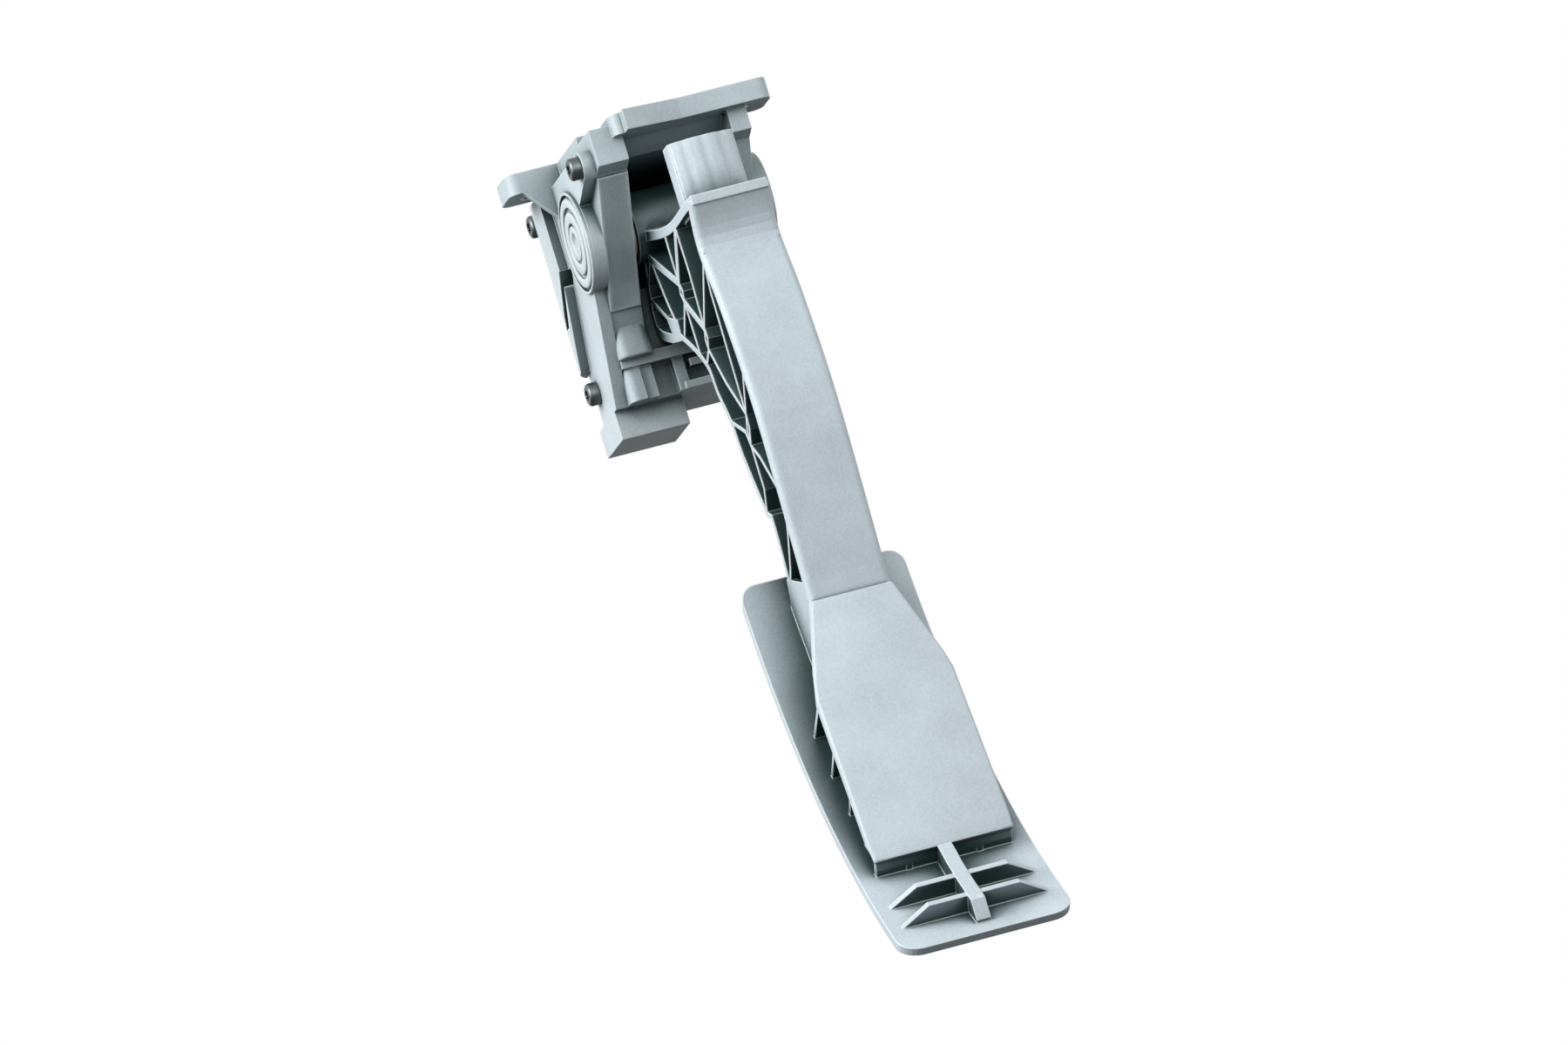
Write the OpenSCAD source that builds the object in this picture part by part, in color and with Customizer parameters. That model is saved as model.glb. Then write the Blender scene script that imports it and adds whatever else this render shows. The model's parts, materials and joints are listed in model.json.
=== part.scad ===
// Hanging accelerator pedal with a contactless position sensor, in millimetres.
// The origin lies on the mounting face, straight above the pivot axis and in the middle of
// the arm. +Z is the outward normal of the mounting face, +X runs along the pivot axis and
// +Y points to the driver's foot, so the foot pad is pressed towards -Y.

/* [Mounting flange] */
// Thickness of the mounting flange
flange_t = 6.5; // [5:0.1:9]
// Bore radius of the steel sleeves in the mounting holes
bolt_r = 3.2; // [2.5:0.1:4]
// Wall of the steel sleeves
sleeve_wall = 1.2; // [0.8:0.1:2]
// Plastic left around a sleeve
ear_wall = 4.1; // [2.5:0.1:6]
// Front bolt: distance to the right of the middle
front_bolt_x = 20.5; // [18:0.5:26]
// Front bolt: distance ahead of the pivot axis
front_bolt_y = 31; // [28:0.5:36]
// Rear bolts: distance behind the pivot axis
rear_bolt_y = 22; // [21:0.5:26]
// Left rear bolt: distance from the middle
left_bolt_x = 34.5; // [33:0.5:40]
// Right rear bolt: distance from the middle
right_bolt_x = 24; // [23:0.5:28]
// Height of the gusset under the left ear
gusset_h = 15; // [8:0.5:22]

/* [Housing] */
// Depth of the pivot axis below the mounting face
pivot_drop = 28.5; // [27:0.5:33]
// Thickness of the right cheek
cheek_t = 6; // [4:0.5:9]
// Thickness of the left cheek behind the sensor pocket
pocket_floor = 3; // [2:0.1:5]
// General wall of the moulding
wall = 3; // [2:0.1:4.5]
// Distance from the pivot axis to the front edge of the flange's left block
front_reach = 36; // [33:0.5:40]
// Distance from the pivot axis to the outer rear face
rear_reach = 52; // [49:0.5:58]
// Radius of the outer rear corners
corner_r = 12; // [6:0.5:14]
// Lean of the rear wall from top to bottom
rear_draft = 4; // [0:0.5:5]
// Height of the stop ledge's front lip
ledge_h = 3.5; // [3:0.1:6]
// Distance of the ledge's top below the pivot axis
ledge_drop = 36; // [35.5:0.1:38]
// Distance of the stop ledge's front edge behind the pivot axis
ledge_front = 9; // [7:0.5:10]
// Radius of the round boss on the right cheek
right_boss_r = 14; // [12:0.5:15]
// Height of the round boss on the right cheek
right_boss_h = 6; // [3:0.5:7]

/* [Spring chamber] */
// Radius of the chamber's bore
chamber_r = 13.05; // [12:0.05:14]
// Distance of the chamber's axis behind the pivot axis
chamber_y = 31; // [30:0.5:33]
// Depth of the chamber's floor below the pivot axis
chamber_drop = 47; // [45:0.5:49]
// Radial play of the spring cup in the bore
cup_play = 0.55; // [0.3:0.05:0.8]
// Height of the spring cup
cup_h = 15; // [12:0.5:18]
// Wall of the spring cup
cup_wall = 1.5; // [1.2:0.1:2]
// Wire radius of the outer spring
outer_wire = 1.2; // [0.9:0.05:1.4]
// Wire radius of the inner spring
inner_wire = 0.85; // [0.6:0.05:1]
// Turns of the outer spring
outer_turns = 5; // [4:1:6]
// Turns of the inner spring
inner_turns = 7; // [5:1:8]
// Thickness of the friction shoes
shoe_t = 0.85; // [0.6:0.05:1]

/* [Pivot] */
// Radius of the pivot shaft
shaft_r = 4; // [3:0.1:5]
// Radial clearance of the shaft in its bushes
bush_clear = 0.05; // [0.02:0.01:0.1]
// Wall of a bush
bush_wall = 1.6; // [1:0.1:2.5]
// Radius of a bush's flange
bush_flange_r = 9; // [8:0.5:11]
// Thickness of a bush's flange
bush_flange_t = 1.8; // [1:0.1:2.5]
// Side play of the hub between the bushes
side_play = 0.3; // [0.2:0.05:0.5]
// Radius of the arm's hub
hub_r = 11; // [10:0.5:12]
// Width of the arm's hub
hub_w = 29.4; // [27:0.2:32]

/* [Arm] */
// Width of the arm's flat face
arm_w = 26; // [22:0.5:28]
// Distance from the pivot axis to the flat face
reach = 77; // [72:0.5:82]
// Height of the pivot axis above the flat face's top edge
top_drop = 11; // [9:0.5:14]
// Distance of the crease below the pivot axis
crease_drop = 138.7; // [132:0.5:146]
// Depth of the wave near the top of the flat face
face_wave = 5; // [3:0.5:8]
// Thickness of the flat face's plate
face_t = 2.6; // [2:0.1:4]
// Fillet along the long edges of the flat face
edge_r = 2; // [0.8:0.1:2.4]
// Thickness of the walls round the truss
arm_wall = 2; // [1.6:0.1:3]
// Thickness of the truss ribs
rib_t = 1.3; // [1:0.1:2]
// Thickness of the middle web
web_t = 2.2; // [1.5:0.1:3.5]
// Distance of the ribs behind the flat face's side edges
rib_inset = 0.8; // [0.4:0.1:2]
// Height of the fluted tower above the arm's top edge
tower_h = 21.8; // [12:0.2:22]
// Width of the fluted tower
tower_w = 21; // [16:0.5:23]
// Distance of the tower's front behind the flat face
tower_back = 14; // [11:0.5:17]
// Depth of the fluted tower
tower_depth = 12; // [9:0.5:13]
// Radius of the lobe that presses the spring cup
lobe_r = 5; // [4:0.25:6]
// Width of the lobe
lobe_w = 14; // [10:0.5:16]

/* [Foot pad] */
// Width of the pad at its top edge
pad_top_w = 52.5; // [48:0.5:58]
// Width of the pad at its bottom edge
pad_bottom_w = 55; // [50:0.5:60]
// Thickness of the pad
pad_t = 3; // [2.5:0.1:4.5]
// Bend radius of the pad
pad_r = 200; // [185:1:215]
// Lean of the pad's top edge, as an angle of the bend
pad_lean = 6.5; // [5:0.1:8]
// Angle that the bent pad covers
pad_arc = 44; // [41:0.5:47]
// Distance of the pad's top edge ahead of the pivot axis
pad_ahead = 45.7; // [44:0.1:48]
// Distance of the pad's top edge below the pivot axis
pad_drop = 125.2; // [123:0.2:128]
// Radius of the pad's bottom corners
pad_corner_r = 7; // [4:0.5:12]
// Radius of the pad's top corners
pad_top_r = 5; // [3:0.5:8]
// Width of the arm's box where it meets the pad
box_w = 45; // [38:0.5:47]
// Height of the box above the pad at its end
box_h = 6.5; // [4:0.5:9]
// Place of the box's end wall along the pad, as an angle of the bend
box_end = 39.1; // [37:0.1:41]
// Height of the ribs below the box
pad_rib_h = 5.8; // [3:0.2:8]

/* [Sensor] */
// Thickness of the side cover
cover_t = 4; // [3:0.1:5]
// Extra thickness of the cover's rear part
bulge_t = 3.2; // [1:0.2:4.5]
// Radius of the cover's boss round the pivot axis
boss_r = 16; // [14:0.5:18]
// Radius of the sensor pocket
pocket_r = 13; // [11.5:0.5:14]
// Radius of the round cap
cap_r = 11.3; // [9:0.1:12]
// Radius of the cap's dimple
dimple_r = 3.2; // [2:0.1:5]
// Radius of the magnet's holder
holder_r = 9; // [8:0.5:10.5]
// Thickness of the magnet's holder
holder_t = 3.7; // [3.2:0.1:4.5]
// Radius of the magnet
magnet_r = 6.5; // [5:0.1:7]
// Thickness of the magnet
magnet_t = 1.4; // [1:0.1:1.6]
// Thickness of the circuit board
board_t = 1.4; // [1:0.1:1.8]
// Height of the sensor chips
chip_t = 1; // [0.6:0.1:1.2]
// Width of the circuit board's strip
board_w = 10; // [8:0.5:11]
// Width of the connector socket
socket_w = 22; // [20:0.5:24]
// Height of the connector socket
socket_h = 9; // [8:0.5:11]
// Length of the connector socket behind its front wall
socket_l = 25; // [22:0.5:30]
// Wall of the connector socket
socket_wall = 1.3; // [1:0.1:1.8]
// Number of connector pins
pins = 6; // [4:1:6]
// Side of a square connector pin
pin_side = 0.64; // [0.5:0.02:0.8]

/* [Fasteners] */
// Radius of the cover screws' heads
head_r = 3.6; // [3:0.1:4.2]
// Height of the cover screws' heads
head_h = 3.6; // [2.5:0.1:4]
// Radius of the cover screws' shanks
shank_r = 1.9; // [1.4:0.1:2.2]
// Length of the cover screws' shanks in the housing
shank_l = 9; // [6:0.5:9.5]

/* [Hidden] */
$fn = 64;
plastic = "#b3bfc4";
shade = "#9ba8ad";
steel = "#8d9294";
dark = "#2a2d2e";
gap = 0.3;

// Across the pedal, from the middle outwards
slot_half = hub_w/2 + side_play + bush_flange_t;
right_face = slot_half + cheek_t;
pocket_d = gap + holder_t + gap + chip_t + board_t + gap/2;
left_wall = slot_half + pocket_floor + pocket_d;
cover_face = left_wall + cover_t;
arm_half = arm_w/2;

// Down the pedal
pivot_z = -pivot_drop;
ledge_z = pivot_z - ledge_drop;
floor_z = pivot_z - chamber_drop;
cover_top = -flange_t - 0.6;
lower_front = chamber_y - chamber_r - wall + 1;
ear_corner = 3.5;
ear_over = 0.8;
front_over = 2;
ring_room = shaft_r + 3.2;
column_w = 5.5;
column_r = 3;
idle_h = 7;
idle_mid = 27;
body_bottom = floor_z - wall;
chamber_front = chamber_y - chamber_r - wall;

// The lobe, the cup and their travel
press = 16;
lobe_y = chamber_y;
lobe_z = -3;
cup_top = pivot_z + lobe_z - lobe_r - gap;
cup_r = chamber_r - cup_play;
seat_t = 1.5;
spring_base = floor_z + seat_t;
spring_top = cup_top - 2*cup_wall;
outer_spring_r = cup_r - cup_wall - outer_wire - gap;
inner_spring_r = outer_spring_r - outer_wire - inner_wire - 2*gap;
lobe_floor = -lobe_r - 3;
bumper_y = chamber_front + wall;
bumper_top = pivot_z + (lobe_floor - bumper_y*sin(press))/cos(press) - gap;
bumper_h = 2;
chamber_top = bumper_top - bumper_h;

// Small geometry helpers
function unit(a, b) = (b - a)/norm(b - a);
function turned(v) = [-v[1], v[0]];
function heading(p, i) = unit(p[max(i - 1, 0)], p[min(i + 1, len(p) - 1)]);
function shifted(p, d) = [for (i = [0:len(p) - 1]) p[i] + turned(heading(p, i))*d];
function reversed(p) = [for (i = [len(p) - 1:-1:0]) p[i]];
function spline_at(a, b, c, d, t) =
    0.5*(2*b + (c - a)*t + (2*a - 5*b + 4*c - d)*t*t + (3*b - a - 3*c + d)*t*t*t);
function spline(p, n) = concat(
    [for (i = [0:len(p) - 2], k = [0:n - 1])
        spline_at(p[max(i - 1, 0)], p[i], p[i + 1], p[min(i + 2, len(p) - 1)], k/n)],
    [p[len(p) - 1]]);
function arc(c, r, a0, a1, n = 8) = [for (k = [0:n]) let (a = a0 + (a1 - a0)*k/n)
    c + r*[cos(a), sin(a)]];

// A side outline, drawn as [y, z], that spans x0 to x1
module across(x0, x1) {
    translate([x0, 0, 0]) rotate([90, 0, 90]) linear_extrude(x1 - x0) children();
}

// A round bar along X
module bar_x(r, x0, x1, y = 0, z = 0) {
    translate([x0, y, z]) rotate([0, 90, 0]) cylinder(r = r, h = x1 - x0);
}

// A strip of even thickness along a line of points
module ribbon(p, t) {
    polygon(concat(shifted(p, t/2), reversed(shifted(p, -t/2))));
}

module at_pivot() {
    translate([0, 0, pivot_z]) children();
}

// A rectangle in plan with round corners
module round_plan(x0, x1, y0, y1, r) {
    polygon(concat(arc([x1 - r, y1 - r], r, 0, 90), arc([x0 + r, y1 - r], r, 90, 180),
                   arc([x0 + r, y0 + r], r, 180, 270), arc([x1 - r, y0 + r], r, 270, 360)));
}

// Mounting flange: a plate with one ear at the front and two at the back
ear_r = bolt_r + sleeve_wall + ear_wall;
bolts = [[front_bolt_x, -front_bolt_y], [-left_bolt_x, rear_bolt_y],
         [right_bolt_x, rear_bolt_y]];
bar_front = -front_bolt_y - ear_r;
bar_back = -front_bolt_y + ear_r;
cheek_top = 8;
block_x = -slot_half + 0.4;

module ear(p, inner_x, over) {
    far = p[0] + sign(p[0] - inner_x)*(ear_r + over);
    round_plan(min(inner_x, far), max(inner_x, far), p[1] - ear_r, p[1] + ear_r, ear_corner);
}

module flange_plan() {
    ear(bolts[0], block_x - ear_corner, front_over);
    ear(bolts[1], 0, ear_over);
    ear(bolts[2], 0, ear_over);
    // Slanted front edge of the bar beside the left block
    polygon([[block_x, bar_front - 4], [block_x, bar_back - 1], [2, bar_back - 1], [2, bar_front]]);
    translate([block_x, bar_back - 4]) square([slot_half + 3 - block_x, rear_bolt_y - bar_back]);
    intersection() {
        round_plan(-left_wall, right_face, -front_reach, rear_reach, corner_r);
        translate([-left_wall, -front_reach/2])
            square([left_wall + slot_half + 3, front_reach/2 + rear_reach]);
    }
}

// Outline of the cheeks and the chamber, seen from the side
cheek_front = [[-front_reach, -2.5], [-front_reach, -flange_t - 7.5],
               [-front_reach + 6, -flange_t - 9], [ledge_front - 5, ledge_z + 13],
               [ledge_front, ledge_z + 4], [ledge_front + 1, ledge_z],
               [ledge_front + 1, ledge_z - ledge_h]];

module body_side() {
    polygon(concat(cheek_front,
        [[lower_front, ledge_z - ledge_h], [lower_front, body_bottom],
         [rear_reach - rear_draft, body_bottom], [rear_reach, -flange_t], [rear_reach, -2.5]]));
}

module screw_places() {
    for (p = cover_screw_places)
        translate([0, p[0], p[1]]) children();
}
cover_screw_places = [[rear_reach - 10, -12], [rear_reach - 19, floor_z + 6.5],
                      [-front_reach + 7.5, -11.5]];

module housing() {
    color(shade) difference() {
        union() {
            translate([0, 0, -flange_t]) linear_extrude(flange_t) flange_plan();
            intersection() {
                across(-left_wall, right_face) body_side();
                translate([0, 0, body_bottom - 1]) linear_extrude(-body_bottom + 2)
                    round_plan(-left_wall, right_face, -front_reach - 20, rear_reach, corner_r);
            }
            left_gusset();
            lower_ribs();
            front_column();
            at_pivot() bar_x(right_boss_r, right_face - 1, right_face + right_boss_h);
        }
        slot();
        ledge_pocket();
        // Room for the retaining ring in the right boss
        at_pivot() bar_x(ring_room, right_face, right_face + right_boss_h + 1);
        chamber();
        sensor_pocket();
        pivot_bores();
        at_pivot() idle_recess();
        for (b = bolts)
            translate([b[0], b[1], -flange_t - 1])
                cylinder(r = bolt_r + sleeve_wall, h = flange_t + 2);
        // Room for the bolt head under the right rear ear
        translate([right_bolt_x, rear_bolt_y, body_bottom - 1])
            cylinder(r = ear_r - 1, h = -body_bottom + 1 - flange_t);
        // The right cheek stands a little below the flange
        translate([slot_half + 3, bar_back + 1, -cheek_top])
            cube([cheek_t, rear_bolt_y - ear_r - bar_back - 2, cheek_top + 1]);
        screw_places() bar_x(shank_r, -left_wall - 1, -left_wall + shank_l + 1);
    }
}

// Triangular web under the left rear ear, and the notch it needs in the cover
gusset_y = rear_bolt_y - ear_r;
gusset_t = 2.5;
module gusset_notch() {
    translate([-cover_face - bulge_t - 1, gusset_y - gap, -flange_t - gusset_h - gap])
        cube([cover_face + bulge_t + 2 - left_wall, gusset_t + 2*gap, gusset_h + flange_t]);
}
module left_gusset() {
    translate([0, gusset_y, 0]) rotate([90, 0, 0])
        translate([0, 0, -gusset_t]) linear_extrude(gusset_t)
            polygon([[-left_wall + 1, -flange_t + 1], [-left_bolt_x - ear_r*0.6, -flange_t + 1],
                     [-left_bolt_x - ear_r*0.6, -flange_t], [-left_wall, -flange_t - gusset_h],
                     [-left_wall + 1, -flange_t - gusset_h]]);
}

// The slot between the cheeks, where the hub and the arm swing
module slot() {
    across(-slot_half, slot_half)
        polygon([[-front_reach - 20, -flange_t], [-front_reach + 8, -flange_t],
                 [-front_reach + 16, -flange_t - 4], [chamber_front, -flange_t - 5],
                 [chamber_front, ledge_z], [-front_reach - 20, ledge_z]]);
    // Front opening of the slot between the flange bar and the left block
    translate([block_x, -front_reach - 20, ledge_z])
        cube([slot_half - block_x, 20 + 8, -flange_t - ledge_z]);
}

// Spring chamber with the room for the lobe above it
module chamber() {
    translate([0, chamber_y, floor_z]) cylinder(r = chamber_r, h = chamber_top - floor_z + 1);
    translate([-chamber_r, chamber_front - 1, chamber_top])
        cube([2*chamber_r, chamber_y + chamber_r - chamber_front + 1, -flange_t - 5 - chamber_top]);
}

// Round pocket for the sensor and the channel that leads its board to the socket
board_foot_y = chamber_front + 9;

module sensor_pocket() {
    at_pivot() bar_x(pocket_r, -left_wall - 1, -left_wall + pocket_d);
    across(-left_wall - 1, -left_wall + board_t + gap + chip_t) strip_side(board_w + 2*gap);
}

// The board's strip from the pocket down to the socket, as a side outline
module strip_side(w) {
    polygon([[-w/2 + 1, pivot_z], [board_foot_y - w/2, body_bottom],
             [board_foot_y + w/2, body_bottom], [w/2 + 1, pivot_z]]);
}

// Hollow in the left end of the stop ledge
module ledge_pocket() {
    translate([-left_wall + board_t + chip_t + 1.3, ledge_front - 3, ledge_z + 1])
        cube([left_wall - slot_half - board_t - chip_t - 2.8, 5.5, 6]);
}

// Rounded column at the front left corner, in front of the board's channel
module front_column() {
    front = ledge_front + 2;
    translate([0, 0, body_bottom]) linear_extrude(ledge_z - body_bottom)
        polygon(concat(arc([-left_wall + column_r, front + column_r], column_r, 180, 270),
            [[-left_wall + column_w, front], [-left_wall + column_w, lower_front + 1],
             [-left_wall, lower_front + 1]]));
}

// Upright ribs on the front of the chamber, under the stop ledge
rib_places = [-19, -8.7, 8.7, 19];
lower_rib_w = 3.5;
foot_t = 2.2;
module lower_ribs() {
    front = ledge_front + 3;
    for (x = rib_places)
        translate([x - lower_rib_w/2, front, body_bottom])
            cube([lower_rib_w, lower_front + 1 - front, ledge_z - body_bottom]);
    // Foot plates between the ribs, with an open gap between them
    for (z = [0, 3*foot_t])
        translate([rib_places[1] + z/2, front - 1, body_bottom + z])
            cube([right_face - rib_places[1] - z/2, lower_front + 2 - front, foot_t]);
}

module pivot_bores() {
    at_pivot() {
        bar_x(shaft_r + bush_clear + bush_wall, -left_wall, -slot_half + 1);
        bar_x(shaft_r + bush_clear + bush_wall, slot_half - 1, right_face + 1);
    }
}

// Shallow seat of the idle bumper in the chamber's front wall
bumper_w = 12;
idle_sink = 1;
module idle_recess() {
    translate([-bumper_w/2, chamber_front - 1, -idle_mid - idle_h/2])
        cube([bumper_w, 1 + idle_sink, idle_h]);
}
arm_back = chamber_front - 1.4;

module idle_bumper() {
    color(dark) at_pivot()
        translate([-bumper_w/2, arm_back + gap/3, -idle_mid - idle_h/2])
            cube([bumper_w, chamber_front + idle_sink - arm_back - gap/3, idle_h]);
}

module travel_bumper() {
    color(dark) translate([-lobe_w/2, chamber_front, chamber_top])
        intersection() {
            cube([lobe_w, wall, bumper_h]);
            translate([0, wall/2, bumper_h - wall/2 - 0.3]) union() {
                bar_x(wall/2, 0, lobe_w);
                translate([0, -wall/2, -bumper_h]) cube([lobe_w, wall, bumper_h]);
            }
        }
}

// Side cover: boss round the pivot, arm to the front eyelet, rear plate and socket
module cover_side() {
    front_eye = cover_screw_places[2];
    translate([0, pivot_z]) circle(boss_r);
    translate(front_eye) circle(4.6);
    polygon([[front_eye[0] - 1, cover_top], [rear_reach, cover_top],
             [rear_reach - rear_draft, body_bottom], [board_foot_y - board_w/2 - 2, body_bottom],
             [0, pivot_z - boss_r + 0.3], [-boss_r + 3, pivot_z + 8],
             [front_eye[0] - 2, front_eye[1] - 4]]);
}

// Thicker rear part of the cover, with its corners cut off
bulge_y = 22;
bulge_low = floor_z + 14;
module cover_bulge() {
    intersection() {
        across(-cover_face - bulge_t, -cover_face + 1) intersection() {
            cover_side();
            polygon([[bulge_y + 3, cover_top], [rear_reach, cover_top], [rear_reach, bulge_low],
                     [bulge_y + 12, bulge_low], [bulge_y, pivot_z - 8], [bulge_y, cover_top - 3]]);
        }
        translate([0, 0, body_bottom - 1]) linear_extrude(-body_bottom)
            round_plan(-cover_face - bulge_t, right_face, -front_reach, rear_reach,
                       corner_r + cover_t + bulge_t);
    }
}

socket_front = board_foot_y - board_w/2 + 1;
socket_top = body_bottom;
socket_x = -cover_face;
module socket_body() {
    translate([socket_x, socket_front, socket_top - socket_h])
        cube([socket_w, socket_l, socket_h]);
}
socket_depth = 15;
module socket_mouth() {
    translate([socket_x + socket_wall, socket_front + socket_l - socket_depth,
               socket_top - socket_h + socket_wall])
        cube([socket_w - 2*socket_wall, socket_depth + 1, socket_h - 2*socket_wall]);
}

module side_cover() {
    color(plastic) difference() {
        union() {
            intersection() {
                across(-cover_face, -left_wall) cover_side();
                translate([0, 0, body_bottom - 1]) linear_extrude(-body_bottom)
                    round_plan(-cover_face, right_face, -front_reach - 20, rear_reach,
                               corner_r + cover_t);
            }
            cover_bulge();
            socket_body();
        }
        socket_mouth();
        gusset_notch();
        at_pivot() {
            // Seat of the round cap
            bar_x(cap_r, -cover_face - 1, -cover_face + cap_t);
            // Inner hollow over the board
            bar_x(pocket_r - 1.5, -left_wall - 1, -left_wall + 1);
        }
        seal_ring();
        screw_places() {
            bar_x(shank_r + 0.2, -cover_face - 1, -left_wall + 1);
            bar_x(head_r + 0.9, -cover_face - bulge_t - 1, -cover_face);
        }
        // Slanted recess behind the boss
        across(-cover_face - bulge_t - 1, -cover_face + 1.6)
            polygon([[18, pivot_z - 3], [bulge_y + 1, pivot_z - 3], [36, pivot_z - 19],
                     [31, pivot_z - 19]]);
        connector_shape();
    }
}
cap_t = 2;

module pivot_cap() {
    color(plastic) at_pivot() difference() {
        bar_x(cap_r, -cover_face, -cover_face + cap_t);
        // Ring groove and middle dimple
        difference() {
            bar_x(cap_r - 0.9, -cover_face - 1, -cover_face + 0.6);
            bar_x(cap_r - 1.9, -cover_face - 2, -cover_face + 1);
        }
        bar_x(dimple_r, -cover_face - 1, -cover_face + 1);
    }
}

// Ring seal in a groove of the cover, pressed on the rim of the sensor pocket
seal_t = 0.8;
seal_w = 1.4;
module seal_ring() {
    at_pivot() difference() {
        bar_x(pocket_r + 0.3 + seal_w, -left_wall - seal_t, -left_wall);
        bar_x(pocket_r + 0.3, -left_wall - 2*seal_t, -left_wall + 1);
    }
}
module cover_gasket() {
    color(dark) seal_ring();
}
board_lift = gap/2;

module cover_screws() {
    color(dark) screw_places() difference() {
        union() {
            bar_x(shank_r, -cover_face, -left_wall + shank_l);
            bar_x(head_r, -cover_face - head_h, -cover_face);
        }
        // Six-sided drive socket
        translate([-cover_face - head_h - 1, 0, 0]) rotate([0, 90, 0])
            cylinder(r = head_r*0.55, h = 2.6, $fn = 6);
    }
}

module mount_sleeves() {
    color(steel) for (b = bolts)
        translate([b[0], b[1], -flange_t]) difference() {
            cylinder(r = bolt_r + sleeve_wall, h = flange_t);
            translate([0, 0, -1]) cylinder(r = bolt_r, h = flange_t + 2);
        }
}

// Circuit board in the pocket, with its strip down to the socket
board_x = -left_wall + board_lift;
module circuit_board() {
    color("#2f6b45") union() {
        at_pivot() bar_x(pocket_r - 1.6, board_x, board_x + board_t);
        across(board_x, board_x + board_t) intersection() {
            strip_side(board_w);
            translate([-left_wall, socket_top + pin_rise]) square([100, 100]);
        }
    }
}

module sensor_chips() {
    color(dark) at_pivot() for (s = [-1, 1])
        translate([board_x + board_t, s*3.2 - 2, -2.5]) cube([chip_t, 4, 5]);
}

// Pins: each lies in the socket, rises behind it and ends under the board
pin_pitch = (socket_w - 2*socket_wall - 4)/(pins - 1);
function pin_x(i) = socket_x + socket_wall + 2 + i*pin_pitch;
function pin_back(i) = socket_front + 2 + i*1.2;
pin_rise = 1;
module connector_shape() {
    z_pin = socket_top - socket_h/2;
    z_bar = socket_top - 2*pin_side;
    board_mid = board_x + board_t/2;
    for (i = [0:pins - 1]) translate([-pin_side/2, pin_back(i), 0]) {
        translate([pin_x(i), 0, z_pin])
            cube([pin_side, socket_front + socket_l - 6 - pin_back(i), pin_side]);
        translate([pin_x(i), 0, z_pin]) cube([pin_side, pin_side, z_bar - z_pin + pin_side]);
        translate([min(pin_x(i), board_mid), 0, z_bar])
            cube([abs(pin_x(i) - board_mid) + pin_side, pin_side, pin_side]);
        translate([board_mid, 0, z_bar])
            cube([pin_side, pin_side, socket_top + pin_rise - z_bar]);
    }
}

module connector_pins() {
    color("#c9b26a") connector_shape();
}

// Plain flanged bush, with its flange towards the hub
module bush(x_flange, length) {
    d = sign(x_flange);
    r = shaft_r + bush_clear;
    at_pivot() difference() {
        union() {
            bar_x(r + bush_wall, min(d*slot_half, d*(slot_half + length)),
                  max(d*slot_half, d*(slot_half + length)));
            bar_x(bush_flange_r, min(d*slot_half, d*(slot_half - bush_flange_t)),
                  max(d*slot_half, d*(slot_half - bush_flange_t)));
        }
        bar_x(r, -slot_half - length - 1, slot_half + length + 1);
    }
}
module left_bush() {
    color("#d8d3c4") bush(-1, pocket_floor);
}
module right_bush() {
    color("#d8d3c4") bush(1, cheek_t);
}

module spring_seat() {
    color(dark) translate([0, chamber_y, floor_z]) difference() {
        union() {
            cylinder(r = chamber_r - gap, h = seat_t);
            cylinder(r = inner_spring_r - inner_wire - gap, h = seat_t + 3);
        }
        translate([0, 0, -1]) cylinder(r = 1.5, h = seat_t + 6);
    }
}

// Coil spring with closed ends: the wire is a closed tube round a helix
function coil_point(r, wire, h, turns, t) = let (
    closed = 0.75,
    active = turns - 2*closed,
    rise = h - 4*wire,
    f = t < closed ? t/closed*2*wire*0.5
        : t > turns - closed ? h - 2*wire - (turns - t)/closed*2*wire*0.5
        : 2*wire*0.5 + (rise)*(t - closed)/active)
    [r*cos(360*t), r*sin(360*t), f + wire];
module coil(r, wire, h, turns, hand = 1) {
    per_turn = 20;
    sides = 6;
    n = turns*per_turn;
    function ring_point(i, k) = let (
        t = i/per_turn,
        c = coil_point(r, wire, h, turns, t),
        a = 360*k/sides)
        [c[0] + wire*cos(a)*cos(360*t), hand*(c[1] + wire*cos(a)*sin(360*t)), c[2] + wire*sin(a)];
    points = [for (i = [0:n], k = [0:sides - 1]) ring_point(i, k)];
    skin = [for (i = [0:n - 1], k = [0:sides - 1], half = [0, 1])
        let (a = i*sides + k, b = i*sides + (k + 1)%sides, c = a + sides, d = b + sides)
        half == 0 ? [a, c, b] : [b, c, d]];
    first = [for (k = [0:sides - 1]) k];
    last = [for (k = [sides - 1:-1:0]) n*sides + k];
    faces = concat(skin, [first], [last]);
    polyhedron(points, hand > 0 ? faces : [for (f = faces) reversed(f)]);
}

module outer_spring() {
    color(steel) translate([0, chamber_y, spring_base])
        coil(outer_spring_r, outer_wire, spring_top - spring_base - 0.1, outer_turns);
}
module inner_spring() {
    color(steel) translate([0, chamber_y, spring_base])
        coil(inner_spring_r, inner_wire, spring_top - spring_base - 0.1, inner_turns, -1);
}

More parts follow.
